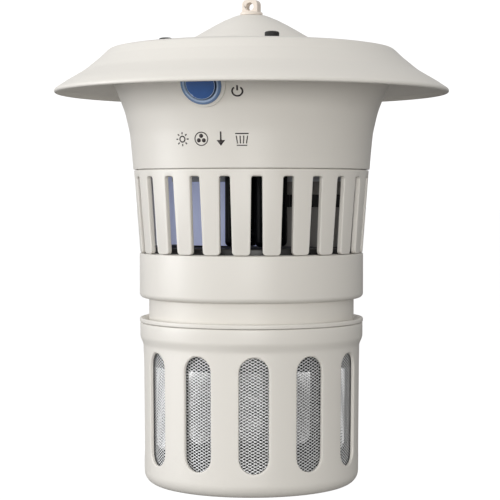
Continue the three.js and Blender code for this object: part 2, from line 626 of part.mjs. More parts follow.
// Two shutters on one pin close the duct when the fan stops. Each is a plate beside the pin
// with two knuckles round it, and the knuckles of the two stand side by side.
function shutters() {
  place("shutter_pin", alongX(disc(PIN_R, -PIN_HALF_LENGTH, PIN_HALF_LENGTH, 12)), steel);
  shutter("flap_front", 0, FRONT_KNUCKLES);
  const mirrored = REAR_KNUCKLES.map(([from, to]) => [-to, -from]);
  shutter("flap_rear", 180, mirrored);
  place("flap_spring", coil(), steel);
}

// Drawn in front of the pin, then turned about the Z axis.
function shutter(name, angle, knuckles) {
  const low = FLAP_Z - FLAP_T / 2;
  const high = FLAP_Z + FLAP_T / 2;
  const slab = solid(disc(FLAP_R, low, high, ROUND));
  const half = solid(block([-70, -70, 70], [70, -FLAP_EDGE_Y, 90]));
  const barrels = knuckles.map(([from, to]) => solid(alongX(disc(KNUCKLE_R, from, to, 12))));
  const arms = knuckles.map(([from, to]) => solid(block([from, -FLAP_EDGE_Y - 1, low], [to, 0, high])));
  const pinRoom = solid(alongX(disc(PIN_R + GAP, -64, 64, 12)));
  const whole = cut(joined(slab.intersect(half), ...arms, ...barrels), pinRoom);
  place(name, turnedTo(geometryOf(whole), angle), ivory);
}

// Torsion spring round the pin.
function coil() {
  const steps = SPRING_TURNS * 8;
  const points = Array.from({ length: steps + 1 }, (_, i) => {
    const angle = (i / 8) * 2 * Math.PI;
    const x = (i / steps - 0.5) * SPRING_LENGTH;
    const z = FLAP_Z + SPRING_R * Math.sin(angle);
    return new THREE.Vector3(x, SPRING_R * Math.cos(angle), z);
  });
  const section = new THREE.Shape();
  section.absarc(0, 0, SPRING_WIRE_R, 0, 2 * Math.PI);
  const extrudePath = new THREE.CatmullRomCurve3(points);
  const settings = { steps, bevelEnabled: false, extrudePath, curveSegments: 2 };
  return new THREE.ExtrudeGeometry(section, settings);
}

// Locking ring: a dished lip outside, and a skirt inside the basket's band.
function lockRing() {
  const seat = BAND_TOP_Z + GAP;
  const profile = [[RIM_SKIRT_R, RIM_FOOT_Z], [RIM_SKIRT_R, seat], [RIM_R, seat], [RIM_R, 104.8]];
  profile.push([RIM_R - 0.6, RIM_TOP_Z], [69, RIM_TOP_Z], [67.6, 103.6]);
  profile.push([RIM_BORE_R, 102.4], [RIM_BORE_R, RIM_FOOT_Z]);
  place("lock_ring", turned(profile), ivory);
}

function basketShell() {
  const fillet = 8;
  const round = arc(60, fillet, fillet, -90, 0, 3);
  const outline = [[0, 0], ...round, [68.7, 87.4], [70.6, 93.4], [70.7, BAND_TOP_Z]];
  const inner = [[68.5, BAND_TOP_Z], [68.4, 93.4], [66.5, 87.4]];
  inner.push(...arc(60, fillet, fillet - BASKET_WALL, 0, -90, 3), [0, BASKET_WALL]);
  const shape = new THREE.Shape();
  shape.absarc(0, WINDOW_FOOT_Z + WINDOW_R, WINDOW_R, -Math.PI, 0);
  shape.absarc(0, WINDOW_TOP_Z - WINDOW_R, WINDOW_R, 0, Math.PI);
  const cutter = frontward(shape, 58, 76, 3);
  const step = 360 / WINDOWS;
  const cutters = Array.from({ length: WINDOWS }, (_, i) =>
    solid(turnedTo(cutter, WINDOW_START + step * i)),
  );
  place("basket_shell", cut(solid(turned([...outline, ...inner])), ...cutters), ivory);
}

// Expanded-metal liner behind the windows, as a plain thin tube of its outer size.
function meshLiner() {
  const outer = [[65.4, 9], [66.1, 86.5]];
  const inner = outer.map(([r, z]) => [r - LINER_T, z]).reverse();
  place("mesh_liner", turned([...outer, ...inner]), whiteMesh);
}

hangingEye();
hanger();
domeCap();
rainCanopy();
canopyFixings();
headHousing();
pushSwitch();
powerInlet();
circuitTray();
electronics();
lampMount();
lamp();
lurePlates();
lampClamp();
leads();
grilleRing();
fanHousing();
fanFrame();
fanMotor();
fanRotor();
fanGuard();
shutters();
lockRing();
basketShell();
meshLiner();

export default trap;
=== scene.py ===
"""Looks of a suction-fan insect trap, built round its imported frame."""

import json
import math

import bmesh
import bpy
from bpy.props import FloatProperty, FloatVectorProperty, IntProperty, PointerProperty
from mathutils import Matrix, Vector
from mathutils.geometry import interpolate_bezier


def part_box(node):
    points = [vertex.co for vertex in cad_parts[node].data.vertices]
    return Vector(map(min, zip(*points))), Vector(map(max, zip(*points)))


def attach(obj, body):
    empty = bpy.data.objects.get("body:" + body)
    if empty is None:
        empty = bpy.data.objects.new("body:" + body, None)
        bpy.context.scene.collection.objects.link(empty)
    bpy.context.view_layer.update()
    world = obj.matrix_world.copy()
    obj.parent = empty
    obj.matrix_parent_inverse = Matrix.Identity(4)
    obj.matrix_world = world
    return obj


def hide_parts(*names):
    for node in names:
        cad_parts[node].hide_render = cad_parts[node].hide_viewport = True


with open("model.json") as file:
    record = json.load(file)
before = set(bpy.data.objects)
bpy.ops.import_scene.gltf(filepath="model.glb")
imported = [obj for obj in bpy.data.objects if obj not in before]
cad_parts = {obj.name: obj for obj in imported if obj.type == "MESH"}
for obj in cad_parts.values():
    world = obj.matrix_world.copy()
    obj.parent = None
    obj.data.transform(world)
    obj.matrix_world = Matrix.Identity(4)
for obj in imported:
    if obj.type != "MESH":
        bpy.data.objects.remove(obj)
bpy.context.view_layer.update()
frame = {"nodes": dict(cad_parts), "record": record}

bl_info = {
    "name": "Insect trap",
    "version": (1, 0, 0),
    "blender": (4, 5, 0),
    "location": "View3D > Sidebar > Insect trap",
    "description": "Builds the mouldings, the lamp, the fan and the mesh basket of an insect trap",
    "category": "Object",
}

MM = 0.001
IVORY, CREAM, BLACK = "ivory_shell", "eye_cream", "black_plastic"
BEZEL, BUTTON = "blue_bezel", "blue_button"
FLAT_RADIUS = 72  # radius at which a flat sheet is as long as its turn round the axis, in mm
INLET_HALF, INLET_FOOT, INLET_TOP = 11.0, 208.6, 223.4  # opening for the inlet, in mm
CAMERA_TURN = math.radians(20)  # the camera stands this far round from the front


def low(node):
    """Height of a node's underside, in millimetres."""
    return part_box(node)[0].z / MM


def high(node):
    """Height of a node's top, in millimetres."""
    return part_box(node)[1].z / MM


def reach(node):
    """Outer radius of a round node that stands on the axis, in millimetres."""
    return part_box(node)[1].x / MM


def joint(name):
    """The frame's record of a joint."""
    return next(j for j in frame["record"]["behaviour"]["joints"] if j["name"] == name)


# ------------------------------------------------------------------ sizes and colours


def length(name, description, value):
    """A length in millimetres that the panel can change."""
    return FloatProperty(name=name, description=description, default=value)


def number(name, description, value):
    """A count or an angle in degrees that the panel can change."""
    kind = IntProperty if isinstance(value, int) else FloatProperty
    return kind(name=name, description=description, default=value)


class TrapSizes(bpy.types.PropertyGroup):
    """Sizes that shape the fine surfaces."""

    facets: number("Facets", "Facets round a large moulding", 144)
    wall: length("Wall", "Thickness of a moulded wall", 2.5)
    slots: number("Slots", "Slots round the lamp chamber", 24)
    slot_top: length("Slot top", "Width of a slot at its top", 6.6)
    slot_foot: length("Slot foot", "Width of a slot at its foot", 7.6)
    windows: number("Windows", "Windows round the basket", 12)
    window_width: length("Window width", "Width of a window", 18.5)
    window_low: length("Window foot", "Height of a window's foot", 15.1)
    window_high: length("Window top", "Height of a window's top", 85.1)
    window_turn: number("Window turn", "Degrees to the first window", 21.3)
    mesh_long: length("Mesh long way", "Long way of one diamond", 3.4)
    mesh_short: length("Mesh short way", "Short way of one diamond", 1.89)
    strand: length("Strand", "Width of a strand of the mesh", 0.32)


def tint(name, description, value):
    """A colour that the panel can change."""
    return FloatVectorProperty(
        name=name, description=description, subtype="COLOR", size=3, default=value
    )


class TrapColours(bpy.types.PropertyGroup):
    """Colours of the finishes."""

    ivory: tint("Ivory", "Moulded shells", (0.79, 0.762, 0.71))
    cream: tint("Cream", "Hanging eye", (0.80, 0.72, 0.64))
    bezel: tint("Bezel", "Ring round the button", (0.13, 0.22, 0.40))
    # Painted highlights: pale rings on the bevels of the button and of its ring.
    lens: tint("Lens", "Pale lines of the button and of its ring", (0.42, 0.54, 0.74))
    button: tint("Button rim", "Rim of the push-button", (0.01, 0.03, 0.09))
    face: tint("Button face", "Domed face of the push-button", (0.035, 0.12, 0.38))
    lavender: tint("Lavender", "Coated plate on the left", (0.58, 0.64, 0.92))
    # The plate on the right is much darker than the lavender plate on the left of the lamp.
    plate: tint("Grey plate", "Coated plate on the right", (0.34, 0.33, 0.32))
    # Painted shade on the faces inside the catch basket.
    inside: tint("Inside", "Inside of the catch basket", (0.13, 0.12, 0.11))
    # Painted shade on the inner side of the mesh.
    mesh_inner_shade: tint("Tarnish", "Inner side of the mesh", (0.03, 0.03, 0.03))
    ink: tint("Ink", "Printed marks", (0.03, 0.022, 0.022))
    backdrop: tint("Backdrop", "Floor of the studio", (0.24, 0.235, 0.23))


def sizes():
    return bpy.context.scene.trap_sizes


def colours():
    return bpy.context.scene.trap_colours


# ------------------------------------------------------------------ mesh helpers


def rounded(corners, steps=4):
    """An outline with rounded corners. A corner is (across, up) or (across, up, fillet)."""
    outline = []
    for i, corner in enumerate(corners):
        here = Vector(corner[:2])
        fillet = corner[2] if len(corner) > 2 else 0
        if not fillet:
            outline.append(here)
            continue
        back = Vector(corners[i - 1][:2]) - here
        ahead = Vector(corners[(i + 1) % len(corners)][:2]) - here
        half = back.angle(ahead) / 2
        run = min(fillet / math.tan(half), 0.49 * back.length, 0.49 * ahead.length)
        radius = run * math.tan(half)
        back.normalize()
        ahead.normalize()
        centre = here + (back + ahead).normalized() * radius / math.sin(half)
        first = here + back * run - centre
        last = here + ahead * run - centre
        for k in range(steps + 1):
            outline.append(centre + first.lerp(last, k / steps).normalized() * radius)
    return outline


def arc(across, up, radius, start, end, steps):
    """Points on an arc about (across, up), from one angle to another in degrees."""
    angles = [math.radians(start + (end - start) * k / steps) for k in range(steps + 1)]
    return [(across + radius * math.cos(a), up + radius * math.sin(a)) for a in angles]


def curve_through(points, step):
    """A smooth curve through the points, as points no more than a step apart."""
    points = [Vector(p) for p in points]
    curve = points[:1]
    befores, afters = points[:1] + points, points[2:] + points[-1:]
    for before, start, end, after in zip(befores, points, points[1:], afters):
        count = math.ceil((end - start).length / step)
        leave, arrive = start + (end - before) / 6, end - (after - start) / 6
        curve += [p.xy for p in interpolate_bezier(start, leave, arrive, end, count + 1)[1:]]
    return [tuple(p) for p in curve]


def points_of(geom):
    """The points among what an operator made."""
    return [v for v in geom if isinstance(v, bmesh.types.BMVert)]


def spin_round(bm, geom, facets):
    """Spins points and edges once round the Z axis."""
    bmesh.ops.spin(
        bm, geom=geom, cent=(0, 0, 0), axis=(0, 0, 1), dvec=(0, 0, 0),
        angle=2 * math.pi, steps=facets, use_merge=True, use_duplicate=False,
    )


def turn_by(bm, verts, angle):
    """Turns points round the Z axis by an angle in radians."""
    matrix = Matrix.Rotation(angle, 3, "Z")
    bmesh.ops.rotate(bm, verts=verts, cent=(0, 0, 0), matrix=matrix)


def turned(outline, facets=None, bm=None, closed=True):
    """Spins an outline of (radius, height) points about the Z axis."""
    bm = bm or bmesh.new()
    verts = [bm.verts.new((p[0] * MM, 0, p[1] * MM)) for p in outline]
    ends = verts[1:] + verts[:1] if closed else verts[1:]
    edges = [bm.edges.new(pair) for pair in zip(verts, ends)]
    spin_round(bm, verts + edges, facets or sizes().facets)
    bmesh.ops.remove_doubles(bm, verts=bm.verts, dist=1e-6)
    bmesh.ops.recalc_face_normals(bm, faces=bm.faces)
    return bm


def moved(bm, matrix):
    """Moves everything in the mesh by a matrix."""
    bmesh.ops.transform(bm, matrix=matrix, verts=bm.verts)
    return bm


def fresh(bm, before):
    """The points that were added since a set of points was taken."""
    return [v for v in bm.verts if v not in before]


def face_outwards(bm):
    """Turns an open sheet round the axis so that its faces look away from it."""
    bmesh.ops.recalc_face_normals(bm, faces=bm.faces)
    bm.faces.ensure_lookup_table()
    bm.normal_update()
    face = bm.faces[0]
    middle = face.calc_center_median()
    if face.normal.dot(Vector((middle.x, middle.y, 0))) < 0:
        bmesh.ops.reverse_faces(bm, faces=bm.faces)


def wrapped(bm, radius_at, around=0.0):
    """Bends a flat sheet round the axis, its middle at an angle in degrees from the front."""
    for vert in bm.verts:
        radius = radius_at(vert.co.z / MM) * MM
        angle = vert.co.x / (FLAT_RADIUS * MM) + math.radians(around)
        depth = radius + vert.co.y
        vert.co.x = depth * math.sin(angle)
        vert.co.y = -depth * math.cos(angle)
    return bm


def repeated(bm, count):
    """Repeats everything in the mesh round the axis, and joins what meets."""
    start = bm.verts[:] + bm.edges[:] + bm.faces[:]
    for i in range(1, count):
        copy = bmesh.ops.duplicate(bm, geom=start)["geom"]
        turn_by(bm, points_of(copy), 2 * math.pi * i / count)
    bmesh.ops.remove_doubles(bm, verts=bm.verts, dist=2e-6)
    return bm


def sliced(bm, step, half_width):
    """Cuts a flat sheet into upright strips, so that it bends smoothly."""
    count = int(half_width / step)
    for k in range(-count, count + 1):
        geom = bm.verts[:] + bm.edges[:] + bm.faces[:]
        bmesh.ops.bisect_plane(
            bm, geom=geom, dist=1e-7, plane_co=(k * step * MM, 0, 0), plane_no=(1, 0, 0)
        )


def flat_verts(bm, points, depth=0.0):
    """New points of the mesh from (x, z) points in millimetres."""
    return [bm.verts.new((p[0] * MM, depth * MM, p[1] * MM)) for p in points]


def loop_of(bm, points, depth=0.0):
    """A closed loop of edges through (x, z) points in millimetres."""
    verts = flat_verts(bm, points, depth)
    return [bm.edges.new(pair) for pair in zip(verts, verts[1:] + verts[:1])]


def holed_plate(bm, outline, hole, near, far):
    """An upright plate between two depths, with a hole through it."""
    edges = loop_of(bm, outline, near) + loop_of(bm, hole, near)
    faces = bmesh.ops.bridge_loops(bm, edges=edges)["faces"]
    made = bmesh.ops.extrude_face_region(bm, geom=faces)["geom"]
    bmesh.ops.translate(bm, verts=points_of(made), vec=(0, (far - near) * MM, 0))
    bmesh.ops.recalc_face_normals(bm, faces=bm.faces)


def rod(bm, radius, start, end, segments=16):
    """A round rod between two points in millimetres."""
    start, end = Vector(start) * MM, Vector(end) * MM
    along = end - start
    lie = along.to_track_quat("Z", "Y").to_matrix().to_4x4()
    place = Matrix.Translation((start + end) / 2) @ lie
    bmesh.ops.create_cone(
        bm, cap_ends=True, segments=segments, radius1=radius * MM, radius2=radius * MM,
        depth=along.length, matrix=place,
    )


def ring(bm, radius, wire, height, facets=96, sides=10):
    """A round wire bent into a hoop at a height."""
    start = set(bm.verts)
    upright = Matrix.Rotation(math.pi / 2, 4, "X")
    place = Matrix.Translation((radius * MM, 0, height * MM)) @ upright
    made = bmesh.ops.create_circle(bm, segments=sides, radius=wire * MM, matrix=place)["verts"]
    edges = list({e for v in made for e in v.link_edges})
    spin_round(bm, made + edges, facets)
    bmesh.ops.remove_doubles(bm, verts=fresh(bm, start), dist=1e-6)
    bmesh.ops.recalc_face_normals(bm, faces=bm.faces)


def block(bm, corner, opposite, soft=0.0, segments=2):
    """A box between two corners in millimetres, with softened edges."""
    corner, opposite = Vector(corner) * MM, Vector(opposite) * MM
    size = opposite - corner
    place = Matrix.Translation((corner + opposite) / 2) @ Matrix.Diagonal((*size, 1))
    verts = bmesh.ops.create_cube(bm, size=1, matrix=place)["verts"]
    if soft:
        edges = list({e for v in verts for e in v.link_edges})
        bmesh.ops.bevel(
            bm, geom=edges, offset=soft * MM, offset_type="OFFSET", affect="EDGES",
            segments=segments, profile=0.5, material=-1, clamp_overlap=True,
        )


def piece(name, bm, body, material, replaces=(), crease=35):
    """Makes a mesh object that rides on a body of the frame."""
    mesh = bpy.data.meshes.new(name)
    bm.to_mesh(mesh)
    bm.free()
    made = bpy.data.objects.new(name, mesh)
    bpy.context.scene.collection.objects.link(made)
    mesh.materials.append(material)
    mesh.shade_smooth()
    mesh.set_sharp_from_angle(angle=math.radians(crease))
    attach(made, body)
    if replaces:
        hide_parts(*replaces)
    return made


def spun(
    name, corners, slot, material, replaces=(), crease=35,
    steps=4, facets=None, place=None, body="housing",
):
    """A piece spun from rounded corners about the Z axis, and then placed by a matrix."""
    bm = turned(rounded(corners, steps), facets)
    if place:
        moved(bm, place)
    return piece(name, bm, body, material, replaces, crease)


def thicken(made, wall, soft=0.0, segments=3):
    """Gives an open sheet its wall, inwards, and softens the edges of its cut-outs."""
    solidify = made.modifiers.new("wall", "SOLIDIFY")
    solidify.thickness = wall * MM
    solidify.offset = -1
    solidify.use_even_offset = True
    if soft:
        bevel = made.modifiers.new("soft edges", "BEVEL")
        bevel.width = soft * MM
        bevel.segments = segments
        bevel.limit_method = "ANGLE"
        bevel.angle_limit = math.radians(50)
        bevel.use_clamp_overlap = False
        bevel.harden_normals = False


# ------------------------------------------------------------------ finishes

BUMP_DEPTH = 0.02 * MM
BASKET_MIDDLE = 50  # height of the middle of the basket, in mm


def shader_group(name, inputs, outputs):
    """An empty shader node group with its sockets, its input node and its output node."""
    group = bpy.data.node_groups.new(name, "ShaderNodeTree")
    for label, kind, value in inputs:
        socket = group.interface.new_socket(label, in_out="INPUT", socket_type=kind)
        socket.default_value = value
    for label, kind in outputs:
        group.interface.new_socket(label, in_out="OUTPUT", socket_type=kind)
    return group, group.nodes.new("NodeGroupInput"), group.nodes.new("NodeGroupOutput")


def node(tree, kind, given=None, **settings):
    """A node with its settings. Each socket is given another socket or a fixed value."""
    made = tree.nodes.new(kind)
    for key, value in settings.items():
        setattr(made, key, value)
    for key, value in (given or {}).items():
        if isinstance(value, bpy.types.NodeSocket):
            tree.links.new(value, made.inputs[key])
        else:
            made.inputs[key].default_value = value
    return made


def noise(tree, place, scale, detail=2.0, stretch=None):
    """Noise on object coordinates, optionally stretched."""
    if stretch:
        place = node(tree, "ShaderNodeMapping", {"Vector": place, "Scale": stretch}).outputs["Vector"]
    given = {"Vector": place, "Scale": scale, "Detail": detail}
    return node(tree, "ShaderNodeTexNoise", given).outputs["Fac"]


def math_node(tree, operation, first, second):
    """Joins two sockets or numbers by an operation of the Math node."""
    return node(tree, "ShaderNodeMath", {0: first, 1: second}, operation=operation).outputs["Value"]


def product(tree, first, second):
    return math_node(tree, "MULTIPLY", first, second)


def total(tree, first, second):
    return math_node(tree, "ADD", first, second)


def dot(tree, first, second):
    """Dot product of two vectors, each a socket or fixed."""
    made = node(tree, "ShaderNodeVectorMath", {0: first, 1: second}, operation="DOT_PRODUCT")
    return made.outputs["Value"]


def mixed(tree, factor, first, second):
    """A blend of two colours, each a socket or fixed."""
    given = {"Factor": factor, "A": first, "B": second}
    return node(tree, "ShaderNodeMix", given, data_type="RGBA").outputs["Result"]


def eased(tree, value, start, end, first, last):
    """Maps a value smoothly from one range onto another."""
    given = {"Value": value, "From Min": start, "From Max": end, "To Min": first, "To Max": last}
    made = node(tree, "ShaderNodeMapRange", given, interpolation_type="SMOOTHSTEP")
    return made.outputs["Result"]


def grain_group():
    """Moulded grain: fine texture, slow mottling, and dust that lies on faces that look up."""
    name = "Moulded grain"
    if name in bpy.data.node_groups:
        return bpy.data.node_groups[name]
    group, given, result = shader_group(
        name,
        [
            ("Color", "NodeSocketColor", (0.8, 0.8, 0.8, 1)),
            ("Roughness", "NodeSocketFloat", 0.4),
            ("Variation", "NodeSocketFloat", 0.06),
            ("Dust", "NodeSocketFloat", 0.1),
            ("Grain", "NodeSocketFloat", 1.0),
        ],
        [
            ("Color", "NodeSocketColor"),
            ("Roughness", "NodeSocketFloat"),
            ("Height", "NodeSocketFloat"),
        ],
    )
    place = node(group, "ShaderNodeTexCoord").outputs["Object"]
    cloud = noise(group, place, 22, 3)
    fine = noise(group, place, 2600, 2)
    streak = noise(group, place, 60, 4, (1, 1, 0.12))
    tone = total(group, product(group, cloud, 0.6), product(group, streak, 0.4))
    centred = math_node(group, "SUBTRACT", tone, 0.5)
    bright = total(group, product(group, centred, given.outputs["Variation"]), 1.0)
    tinted = {0: given.outputs["Color"], "Scale": bright}
    shaded = node(group, "ShaderNodeVectorMath", tinted, operation="SCALE").outputs["Vector"]
    normal = node(group, "ShaderNodeNewGeometry").outputs["Normal"]
    rise = node(group, "ShaderNodeSeparateXYZ", {0: normal}).outputs["Z"]
    up = math_node(group, "MAXIMUM", rise, 0.0)
    dusty = product(group, product(group, up, streak), given.outputs["Dust"])
    colour = mixed(group, dusty, shaded, (0.56, 0.52, 0.45, 1))
    group.links.new(colour, result.inputs["Color"])
    rough = total(group, given.outputs["Roughness"], product(group, centred, 0.12))
    group.links.new(total(group, rough, dusty), result.inputs["Roughness"])
    grain = product(group, fine, given.outputs["Grain"])
    group.links.new(total(group, grain, product(group, cloud, 0.35)), result.inputs["Height"])
    return group


def finish(name, colour, roughness, variation=0.06, dust=0.1, grain=1.0, inner=None, **constants):
    """A finish on the moulded grain group. Constants go straight onto the shader's sockets."""
    if name in bpy.data.materials:
        return bpy.data.materials[name]
    material = bpy.data.materials.new(name)
    material.use_nodes = True
    tree = material.node_tree
    shader = tree.nodes["Principled BSDF"]
    values = {"Color": (*colour, 1), "Roughness": roughness, "Variation": variation}
    values.update({"Dust": dust, "Grain": grain})
    moulded = node(tree, "ShaderNodeGroup", values, node_tree=grain_group())
    relief = node(tree, "ShaderNodeBump", {"Distance": BUMP_DEPTH, "Height": moulded.outputs["Height"]})
    # The inner colour is painted shade on faces that look inwards.
    base = painted_inner_shade(tree, moulded.outputs["Color"], *inner) if inner else moulded.outputs["Color"]
    tree.links.new(base, shader.inputs["Base Color"])
    tree.links.new(moulded.outputs["Roughness"], shader.inputs["Roughness"])
    tree.links.new(relief.outputs["Normal"], shader.inputs["Normal"])
    for label, value in constants.items():
        shader.inputs[label.replace("_", " ")].default_value = value
    material.diffuse_color = (*colour, 1)
    return material


def painted_inner_shade(tree, outside, inside, depth):
    """Painted shade: a colour with a second one on faces that look inwards, past a depth from the middle.
    """
    place = node(tree, "ShaderNodeTexCoord").outputs["Object"]
    given = {0: place, 1: (0, 0, BASKET_MIDDLE * MM)}
    from_middle = node(tree, "ShaderNodeVectorMath", given, operation="SUBTRACT").outputs["Vector"]
    normal = node(tree, "ShaderNodeNewGeometry").outputs["Normal"]
    inwards = math_node(tree, "LESS_THAN", dot(tree, normal, from_middle), -depth * MM)
    return mixed(tree, inwards, outside, (*inside, 1))


def coated(name, colour, roughness, variation, dust, grain, coat, coat_roughness, inner=None):
    """A finish under a clear gloss."""
    return finish(
        name, colour, roughness, variation, dust, grain, inner,
        Coat_Weight=coat, Coat_Roughness=coat_roughness,
    )


def ivory(name="ivory moulding", inner=None):
    return coated(name, colours().ivory, 0.42, 0.05, 0.06, 1.0, 0.12, 0.35, inner)


def basket_ivory():
    """The shells' ivory, with painted shade: a dark colour on the faces inside the catch basket."""
    return ivory("basket moulding", (colours().inside, 42))


def bright_mesh():
    """Expanded metal, bright outside, with painted shade on its inner side."""
    colour, inner = (0.85, 0.86, 0.87), (colours().mesh_inner_shade, 10)
    return finish("bright expanded metal", colour, 0.35, 0.1, 0.02, 0.3, inner, Metallic=0.3)


def cream():
    return finish("cream moulding", colours().cream, 0.45, 0.06, 0.1)


def black_plastic():
    return finish("black moulding", (0.012, 0.012, 0.013), 0.4, 0.2, 0.12)


def rubber():
    return finish("black rubber", (0.008, 0.008, 0.008), 0.7, 0.3, 0.06)


def steel():
    return finish("plated steel", (0.56, 0.57, 0.59), 0.28, 0.1, 0.08, 0.4, Metallic=1.0)


def bezel_blue():
    return coated("bezel blue", colours().bezel, 0.2, 0.05, 0.02, 0.1, 0.8, 0.05)


# Pale blue for the painted highlights on the bevels.
def pale_highlight_ring():
    return coated("pale blue lens", colours().lens, 0.15, 0.05, 0.02, 0.1, 0.6, 0.05)


def button_face():
    return coated("button face", colours().face, 0.25, 0.25, 0.05, 0.1, 1.0, 0.08)


def button_blue():
    return coated("button blue", colours().button, 0.16, 0.08, 0.03, 0.1, 1.0, 0.04)


def lamp_glass():
    black = (0.0012, 0.0013, 0.003)
    return finish("blacklight glass", black, 0.34, 0.2, 0.01, 0.05, Specular_IOR_Level=0.1)


def lavender():
    """A lavender coating with a painted glow: a faint emission that stands in for the light on the plate.
    """
    colour = colours().lavender
    return finish(
        "lavender coating", colour, 0.5, 0.06, 0.03, 0.7,
        # Painted light: the plate glows, though it is no lamp.
        Emission_Color=(*colour, 1), Emission_Strength=0.22,
    )


# Dark grey for the plate on the right of the lamp, much darker than the lavender one on its left.
def plate_grey():
    return finish("grey coating", colours().plate, 0.42, 0.15, 0.06, 0.7)


def rail_grey():
    return finish("grey moulding", (0.66, 0.69, 0.74), 0.45, 0.08, 0.05)


def ink():
    return finish("printed ink", colours().ink, 0.5, 0.2, 0.05, 0.5)


def board_green():
    return finish("solder mask", (0.02, 0.11, 0.035), 0.3, 0.15, 0.05, 0.4)


def copper():
    return finish("enamelled copper", (0.48, 0.19, 0.07), 0.3, 0.25, 0.05, 0.8, Metallic=0.9)


# ------------------------------------------------------------------ the pieces


class TrapOperator:
    """What every operator here shares."""

    bl_options = {"REGISTER", "UNDO"}


class BuildHangingEye(TrapOperator, bpy.types.Operator):
    """Lug with an eye on a round collar"""

    bl_idname = "trap.hanging_eye"
    bl_label = "Hanging eye"

    def execute(self, context):
        top = high("hanging_eye")
        half, depth, hole_z, hole_r, foot = 5.2, 7.0, top - 4.4, 2.5, top - 8.4
        bm = bmesh.new()
        outline = rounded([(-half, foot), (half, foot), (half, top, 3), (-half, top, 3)], 6)
        holed_plate(bm, outline, arc(0, hole_z, hole_r, 0, 360 - 15, 23), -depth / 2, depth / 2)
        lug = piece("eye_lug", bm, "housing", cream(), ["hanging_eye"])
        thin = lug.modifiers.new("soft edges", "BEVEL")
        thin.width = 0.6 * MM
        thin.segments = 3
        thin.limit_method = "ANGLE"
        collar_z = 296.6
        collar = [(0, collar_z), (7.1, collar_z, 0.4), (7.1, collar_z + 1.8, 0.7), (0, collar_z + 2.0)]
        spun("eye_collar", collar, CREAM, cream(), facets=72)
        stud = [(0, 264.9), (2.5, 264.9, 0.4), (2.5, collar_z + 0.5), (0, collar_z + 0.5)]
        spun("eye_stud", stud, CREAM, cream(), facets=32)
        return {"FINISHED"}


class BuildDome(TrapOperator, bpy.types.Operator):
    """Shallow dome in the middle of the canopy"""

    bl_idname = "trap.dome_cap"
    bl_label = "Dome"

    def execute(self, context):
        foot, wall = low("dome_cap"), sizes().wall
        bore = 2.8
        outer = [(44.1, foot, 0.4), (44.4, foot + 0.6, 0.6), (33.5, 283.9), (28.4, 286.9), (23.4, 289.7)]
        outer += [(17.7, 292.7), (11.4, 295.4), (9.4, 296.1), (7.4, 296.4), (bore, 296.4)]
        inner = [(max(bore, r - 0.5 * wall), z - 0.85 * wall) for r, z, *_ in reversed(outer[2:])]
        profile = outer + inner + [(42.8 - wall, foot)]
        spun("dome_moulding", profile, IVORY, ivory(), ["dome_cap"], 50, steps=3)
        return {"FINISHED"}


class BuildCanopy(TrapOperator, bpy.types.Operator):
    """Broad brim with a flat deck and a rolled edge"""

    bl_idname = "trap.rain_canopy"
    bl_label = "Rain canopy"

    def execute(self, context):
        radius, wall = reach("rain_canopy"), sizes().wall
        top = [(30, 277), (84.6, 275.5), (89.8, 274.6, 6), (96.0, 268.7, 20), (106.0, 260.5, 30)]
        top += [(117.6, 253.7, 14), (radius - 0.4, 249.0, 2.2), (radius - 0.3, 247.2, 1.0)]
        under = [(radius - 1.9, 246.5, 0.9), (radius - 4, 249.4, 5), (116.4, 251.6, 12), (104.6, 258.3, 30)]
        under += [(94.5, 266.6, 20), (88.6, 272.0, 6), (84.6, 273.0), (30, 277 - wall)]
        spun("canopy_moulding", top + under, IVORY, ivory(), ["rain_canopy"], 50, 5, 180)
        return {"FINISHED"}


class BuildPlugs(TrapOperator, bpy.types.Operator):
    """Four rubber plugs over the canopy screws"""

    bl_idname = "trap.canopy_plugs"
    bl_label = "Canopy plugs"

    def execute(self, context):
        for i in range(1, 5):
            name = f"canopy_plug_{i}"
            corner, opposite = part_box(name)
            centre = (corner + opposite) / 2
            top, foot = opposite.z / MM, corner.z / MM
            rim = top - 4.5
            profile = [(0, foot), (3.5, foot, 0.4), (3.5, rim), (4.4, rim, 0.3), (4.4, top - 0.5, 1.0)]
            profile += [(2.2, top, 1.5), (1.5, top - 0.3, 0.3), (0, top - 0.3)]
            place = Matrix.Translation((centre.x, centre.y, 0))
            spun(f"rubber_plug_{i}", profile, "plug_rubber", rubber(), [name], facets=48, place=place)
        return {"FINISHED"}


def switch_place():
    """Matrix from a shape round +Z to the button's axis, on the front of the head."""
    inward = Vector(joint("button_press")["axis"]).normalized()
    tilt = math.atan2(-inward.y, -inward.z)
    seat = Vector((0, -85.3, 248.4)) * MM
    return Matrix.Translation(seat) @ Matrix.Rotation(-tilt, 4, "X")


def head_outline():
    """Outer side of the head, from its foot to its flared top."""
    side = [(75.0, low("head_housing")), (75.5, 205), (75.8, INLET_FOOT), (76.8, 218.8), (77.5, INLET_TOP)]
    side += [(80.0, 234.0), (82.5, 241.2), (86.9, 252.3), (89.8, 260.2), (92.4, high("head_housing"))]
    return curve_through(side, 2.5)


def on_outline(outline, height):
    """Radius of an outline at a height."""
    for (r0, z0, *_), (r1, z1, *_) in zip(outline, outline[1:]):
        if z0 <= height <= z1:
            return r0 + (r1 - r0) * (height - z0) / (z1 - z0)
    return outline[0][0] if height < outline[0][1] else outline[-1][0]


